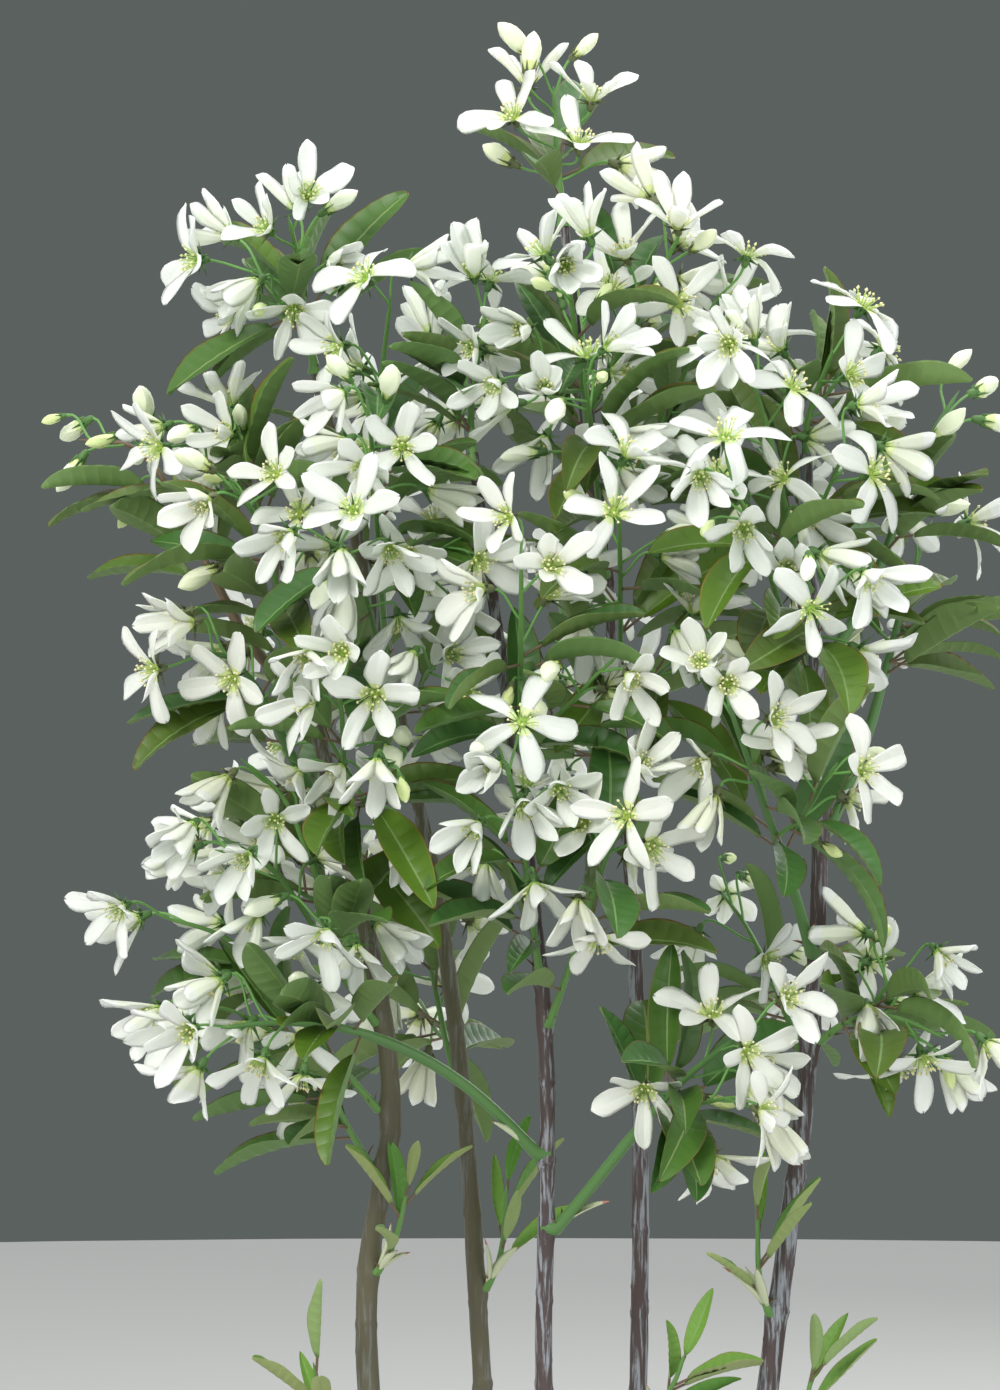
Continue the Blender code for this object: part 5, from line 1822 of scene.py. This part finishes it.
def leaf_breadth(share):
    """How wide a leaf is at a share of its length: a rounded base, widest at its middle, a short point."""
    return LEAF_FULLNESS * share**LEAF_SWELL * (1 - share) ** LEAF_TAPER


def leaf_template(name, width, fold, bend, rng):
    """A pointed leaf along +Y, one long from its petiole, folded on its rib, its side veins pressed in."""
    shape = Shape()
    twist = rng.uniform(-LEAF_TWIST, LEAF_TWIST)
    wave, phase = rng.uniform(*LEAF_WAVE), rng.uniform(0, FULL_WAVE)
    sway = rng.uniform(-LEAF_SWAY, LEAF_SWAY)
    top, under = [], []
    start = PETIOLE_LENGTH / LEAF_LENGTH
    for k in range(LEAF_ROWS):
        share = LEAF_BEGINS + LEAF_SPAN * k / (LEAF_ROWS - 1)
        curl = bend * share
        up = Vector((0, math.sin(curl), math.cos(curl)))
        beside, normal = turned(Vector((1, 0, 0)), up, twist * share * TWIST_SHARE)
        for column in LEAF_COLUMNS:
            out = abs(column)
            place = min(share + VEIN_SWEEP * out * share * (1 - share), LEAF_ENDS)
            half = leaf_breadth(place) * width / 2
            run = start + place - bend * bend * place**3 / 6
            middle = Vector((sway * place**2, run, -bend * place * place / 2))
            rippled = math.sin(place * LEAF_WAVES + phase + column * LEAF_LAG)
            raised = out * half * math.sin(fold) + wave * rippled * out**2
            raised -= VEIN_DEPTH * (k % 2) * math.sin(math.pi * share) * 4 * out * (1 - out)
            raised -= RIB_DEPTH * (out < RIB_WIDTH)
            point = middle + beside * column * half * math.cos(fold) + normal * raised
            depth = BLADE_THICKNESS * (1 - out * out) + RIB_THICKNESS * (out < RIB_WIDTH)
            top.append(point)
            under.append(point - normal * depth)
    wide, rows = len(LEAF_COLUMNS), LEAF_ROWS

    def finishes_at(r, c):
        if c == wide // 2 - 1:
            return [RIB, RIB]
        return [MARGIN if c in (0, wide - 2) else BLADE, UNDERSIDE]

    points, faces, finishes, lower = thin_shell(top, under, wide, finishes_at, True)
    tip = len(points)
    points.append(Vector((sway, start + 1.0 - bend * bend / 6, -bend / 2)))
    last = (rows - 1) * wide
    for c in range(wide - 1):
        faces.append((last + c, last + c + 1, tip))
        faces.append((lower[last + c + 1], lower[last + c], tip))
        finishes += [MARGIN, UNDERSIDE]
    faces.append(tuple(range(wide)) + tuple(lower[k] for k in range(wide - 2, 0, -1)))
    finishes.append(RIB)
    veins = [(r * wide + c, r * wide + c + 1) for r in range(1, rows, 2) for c in range(wide - 1)]
    veins += [(lower[a], lower[b]) for a, b in veins]
    shape.add(points, faces, finishes, veins)
    return shape.template(name)


def leaf_turn(leaf):
    """The turn that takes +Y along the leaf and +Z to its face."""
    sideways = leaf.direction.cross(leaf.face).normalized()
    return Matrix((sideways, leaf.direction, leaf.face)).transposed()


def leaf_finishes(kind, green, tints, edge, rib, underside):
    """Finishes by part of the leaf and, within each, by spray."""
    greens = [tinted(green, *tint) for tint in tints]
    by_part = (
        ("blade", 0.42, greens),
        ("margin", 0.45, [tinted(tone, *edge) for tone in greens]),
        ("rib", 0.5, [tinted(rib, 1 - RIB_STEP * k) for k in range(LEAF_TONES)]),
        ("underside", 0.6, [tinted(underside, 1 + UNDERSIDE_STEP * k) for k in range(LEAF_TONES)]),
    )
    return [
        plain_finish(f"{kind} {part} {k}", tone, roughness)
        for part, roughness, tones in by_part
        for k, tone in enumerate(tones)
    ]


def build_leaves(name, width, young, finishes, nodes):
    """One joined piece of all the grown or all the young leaves."""
    _, grown = shrub()
    rng = random.Random(name)
    templates = [
        leaf_template(
            f"{name}_{k}", width * rng.uniform(*WIDTH_RANGE),
            math.radians(rng.uniform(*(YOUNG_FOLDS if young else FOLDS))),
            rng.uniform(*(YOUNG_BENDS if young else BENDS)), rng,
        )
        for k in range(LEAF_KINDS)
    ]
    spots = []
    for growth in grown:
        if is_tuft(growth) == young:
            tone = spray_tone(growth.shoot, LEAF_TONES)
            for leaf in growth.leaves:
                own = (tone + rng.randrange(2)) % LEAF_TONES
                spots.append(Spot(leaf.root, leaf_turn(leaf), leaf.length, rng.randrange(LEAF_KINDS), own))
    made = set_on_points(name, spots, templates, finishes, LEAF_TONES)
    in_scene(made, "young_leaves", *nodes)


class BuildLeaves(bpy.types.Operator):
    """Build the half-grown leaves among the blossom"""

    bl_idname = "shrub.leaves"
    bl_label = "Leaves"

    def execute(self, context):
        tints = ((1, 1, 1), (1.45, 1.22, 0.75), (1.35, 0.98, 0.95), (0.80, 0.95, 1.25))
        edge, rib, underside = (1.9, 0.80, 0.9), (0.20, 0.29, 0.09), (0.125, 0.230, 0.066)
        finishes = leaf_finishes("leaf", colours().leaf, tints, edge, rib, underside)
        build_leaves("leaves", LEAF_WIDTH, False, finishes, ())
        return {"FINISHED"}


class BuildYoungLeaves(bpy.types.Operator):
    """Build the tufts of young leaves on the bare stems"""

    bl_idname = "shrub.young_leaves"
    bl_label = "Young Leaves"

    def execute(self, context):
        tints = ((1, 1, 1), (1.2, 1.1, 1.0), (0.8, 0.9, 0.9), (1.1, 0.95, 1.0))
        edge, rib, underside = (1.35, 0.86, 0.9), (0.24, 0.34, 0.11), (0.25, 0.36, 0.13)
        finishes = leaf_finishes("young leaf", colours().young_leaf, tints, edge, rib, underside)
        nodes = [tuft.name for tuft in TUFTS]
        build_leaves("young_leaves", YOUNG_LEAF_WIDTH, True, finishes, nodes)
        return {"FINISHED"}


# Bud scales. Rows are shares of a scale's length, each with its breadth there, columns are shares of its
# half width, and leans are in degrees.

SCALES_AT_TUFT = 6
SCALES_AT_SHOOT = 3
SCALE_LENGTH = 0.0185
SCALE_RANGE = (0.65, 1.10)
BROWN_SCALE = 0.24
SCALE_KINDS = 4
SCALE_ROWS = ((0.0, 0.55), (0.12, 0.85), (0.3, 1.0), (0.5, 0.95), (0.7, 0.76), (0.86, 0.46), (0.95, 0.22))
SCALE_COLUMNS = (-1.0, -0.5, 0.0, 0.5, 1.0)
SCALE_BENDS = (-0.1, 0.5)
SCALE_WIDTHS = (0.15, 0.21)
SCALE_SWAY = 0.15
SCALE_HOLLOW = 0.9
SCALE_THICKNESS = 0.03
BLUSH_FROM = (0.6, 0.8, 0.95, 1.0)
SCALE_TURN = 0.4
CLOSE_LEAN = (3, 14)
OPEN_LEAN = (24, 50)
SCALE_UP = (0.0003, 0.0035)
SCALE_OUT = 0.0008
SILK, BLUSH = range(2)


def scale_template(number):
    """A long silky scale along +Y, hollowed, curved outwards and blushed towards its tip."""
    rng = random.Random(f"scale {number}")
    shape = Shape()
    bend, width = rng.uniform(*SCALE_BENDS), rng.uniform(*SCALE_WIDTHS)
    sway, blush = rng.uniform(-SCALE_SWAY, SCALE_SWAY), rng.choice(BLUSH_FROM)
    points = []
    for share, breadth in SCALE_ROWS:
        middle = Vector((sway * share * share, share, -bend * share * share / 2))
        half = breadth * width / 2
        for columns, depth in ((SCALE_COLUMNS, 0), (SCALE_COLUMNS[3:0:-1], SCALE_THICKNESS * breadth)):
            points += [middle + Vector((half * c, 0, half * c * c * SCALE_HOLLOW - depth)) for c in columns]
    tip = len(points)
    points.append(Vector((sway, 1.0, -bend / 2)))
    ring, rows = 2 * len(SCALE_COLUMNS) - 2, len(SCALE_ROWS)
    faces = ring_faces(rows, ring) + fan(tip - ring, ring, tip) + [tuple(range(ring))[::-1]]
    finishes = [BLUSH if share >= blush else SILK for share, _ in SCALE_ROWS[:-1] for _ in range(ring)]
    shape.add(points, faces, finishes + [BLUSH] * (ring + 1))
    return shape.template(f"scale_{number}")


class BuildBudScales(bpy.types.Operator):
    """Build the silky scales where a shoot or a tuft leaves its stem"""

    bl_idname = "shrub.bud_scales"
    bl_label = "Bud Scales"

    def execute(self, context):
        _, grown = shrub()
        finishes = [
            plain_finish("silk", (0.55, 0.60, 0.40), 0.6),
            plain_finish("silk brown", (0.20, 0.11, 0.06), 0.6),
            plain_finish("blush", (0.46, 0.20, 0.16), 0.5),
            plain_finish("blush brown", (0.14, 0.07, 0.045), 0.5),
        ]
        spots = []
        for growth in grown:
            rng = random.Random(growth.shoot.name + " scales")
            path = growth.bough or growth.twigs[0]
            axis = (path[1] - path[0]).normalized()
            tuft = is_tuft(growth)
            for k in range(SCALES_AT_TUFT if tuft else SCALES_AT_SHOOT):
                out = way_round(*across(axis), GOLDEN_ANGLE * k + rng.uniform(-SCALE_TURN, SCALE_TURN))
                lean = math.radians(rng.uniform(*(CLOSE_LEAN if k % 2 else OPEN_LEAN)))
                along = way_round(axis, out, lean)
                face = (axis - along * axis.dot(along)).normalized()
                place = path[0] + axis * rng.uniform(*SCALE_UP) + out * SCALE_OUT
                turn = Matrix((along.cross(face), along, face)).transposed()
                brown = not (tuft or growth.bough) or k % 2 == 0
                size = SCALE_LENGTH * rng.uniform(*SCALE_RANGE) * (BROWN_SCALE if brown else 1.0)
                spots.append(Spot(place, turn, size, rng.randrange(SCALE_KINDS), int(brown)))
        templates = [scale_template(k) for k in range(SCALE_KINDS)]
        made = set_on_points("bud_scales", spots, templates, finishes, 2)
        in_scene(made, "green_shoot")
        return {"FINISHED"}


# Stage

CAMERA_PLACE = (-0.018, -1.6, 0.4685)
CAMERA_LENS = 138.1
SENSOR_WIDTH = 36
AIM = (0.0, 0.0, 0.45)
FLOOR_RADIUS = 3
FLOOR_SIDES = 96
BACKDROP = (0.105, 0.120, 0.115, 1)
DAYLIGHT = (0.95, 0.98, 1.0, 1)
DAYLIGHT_STRENGTH = 0.72
LAMPS = (
    ("key", (-1.1, -1.9, 1.7), 1.1, 42, (1.0, 0.985, 0.96)),
    ("fill", (1.7, -1.5, 0.9), 1.6, 15, (0.96, 0.98, 1.0)),
    ("top", (0.2, 0.2, 2.1), 1.4, 16, (1.0, 1.0, 1.0)),
    ("back", (0.9, 1.8, 1.2), 1.4, 12, (0.98, 1.0, 1.0)),
)


class BuildStage(bpy.types.Operator):
    """Build the floor, the lights and the camera"""

    bl_idname = "shrub.stage"
    bl_label = "Stage"

    def execute(self, context):
        scene = context.scene
        rim = [level_way(2 * math.pi * k / FLOOR_SIDES) * FLOOR_RADIUS for k in range(FLOOR_SIDES)]
        pale = plain_finish("floor", colours().floor, 0.8)
        linked(plain_object("floor", rim, [tuple(range(FLOOR_SIDES))], [pale]))
        for name, place, size, power, colour in LAMPS:
            data = bpy.data.lights.new(name, "AREA")
            data.shape, data.size, data.energy, data.color = "DISK", size, power, colour
            lamp = linked(bpy.data.objects.new(name, data))
            lamp.location = place
            lamp.rotation_euler = (Vector(AIM) - Vector(place)).to_track_quat("-Z", "Y").to_euler()
        world = bpy.data.worlds.new("soft daylight")
        world.use_nodes = True
        tree = world.node_tree
        tree.nodes.clear()
        seen = add_node(tree, "ShaderNodeBackground", {"Color": BACKDROP, "Strength": 1.0}).outputs[0]
        light = {"Color": DAYLIGHT, "Strength": DAYLIGHT_STRENGTH}
        lit = add_node(tree, "ShaderNodeBackground", light).outputs[0]
        looking = add_node(tree, "ShaderNodeLightPath").outputs["Is Camera Ray"]
        surface = add_node(tree, "ShaderNodeMixShader", {0: looking, 1: lit, 2: seen}).outputs[0]
        add_node(tree, "ShaderNodeOutputWorld", {"Surface": surface})
        scene.world = world
        scene.view_settings.view_transform = "Standard"
        data = bpy.data.cameras.new("camera")
        data.lens, data.sensor_width = CAMERA_LENS, SENSOR_WIDTH
        camera = linked(bpy.data.objects.new("camera", data))
        camera.location, camera.rotation_euler = CAMERA_PLACE, (math.radians(90), 0, 0)
        scene.camera = camera
        return {"FINISHED"}


OPERATORS = (
    BuildBark, BuildShoots, BuildPedicels, BuildBlossom, BuildBuds,
    BuildLeaves, BuildYoungLeaves, BuildBudScales, BuildStage,
)


class ShrubPanel(bpy.types.Panel):
    """Lists the shrub's pieces, sizes and colours"""

    bl_idname = "VIEW3D_PT_shrub"
    bl_label = "Shrub"
    bl_space_type = "VIEW_3D"
    bl_region_type = "UI"
    bl_category = "Shrub"

    def draw(self, context):
        for settings in (context.scene.shrub_sizes, context.scene.shrub_colours):
            for name in settings.__annotations__:
                self.layout.prop(settings, name)
        for operator in OPERATORS:
            self.layout.operator(operator.bl_idname)


CLASSES = (ShrubSizes, ShrubColours, *OPERATORS, ShrubPanel)


def register():
    for made in CLASSES:
        bpy.utils.register_class(made)
    bpy.types.Scene.shrub_sizes = bpy.props.PointerProperty(type=ShrubSizes)
    bpy.types.Scene.shrub_colours = bpy.props.PointerProperty(type=ShrubColours)


def unregister():
    del bpy.types.Scene.shrub_colours
    del bpy.types.Scene.shrub_sizes
    for made in reversed(CLASSES):
        bpy.utils.unregister_class(made)


def main():
    register()
    for operator in OPERATORS:
        group, name = operator.bl_idname.split(".")
        getattr(getattr(bpy.ops, group), name)()
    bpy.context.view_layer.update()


if __name__ == "__main__":
    main()
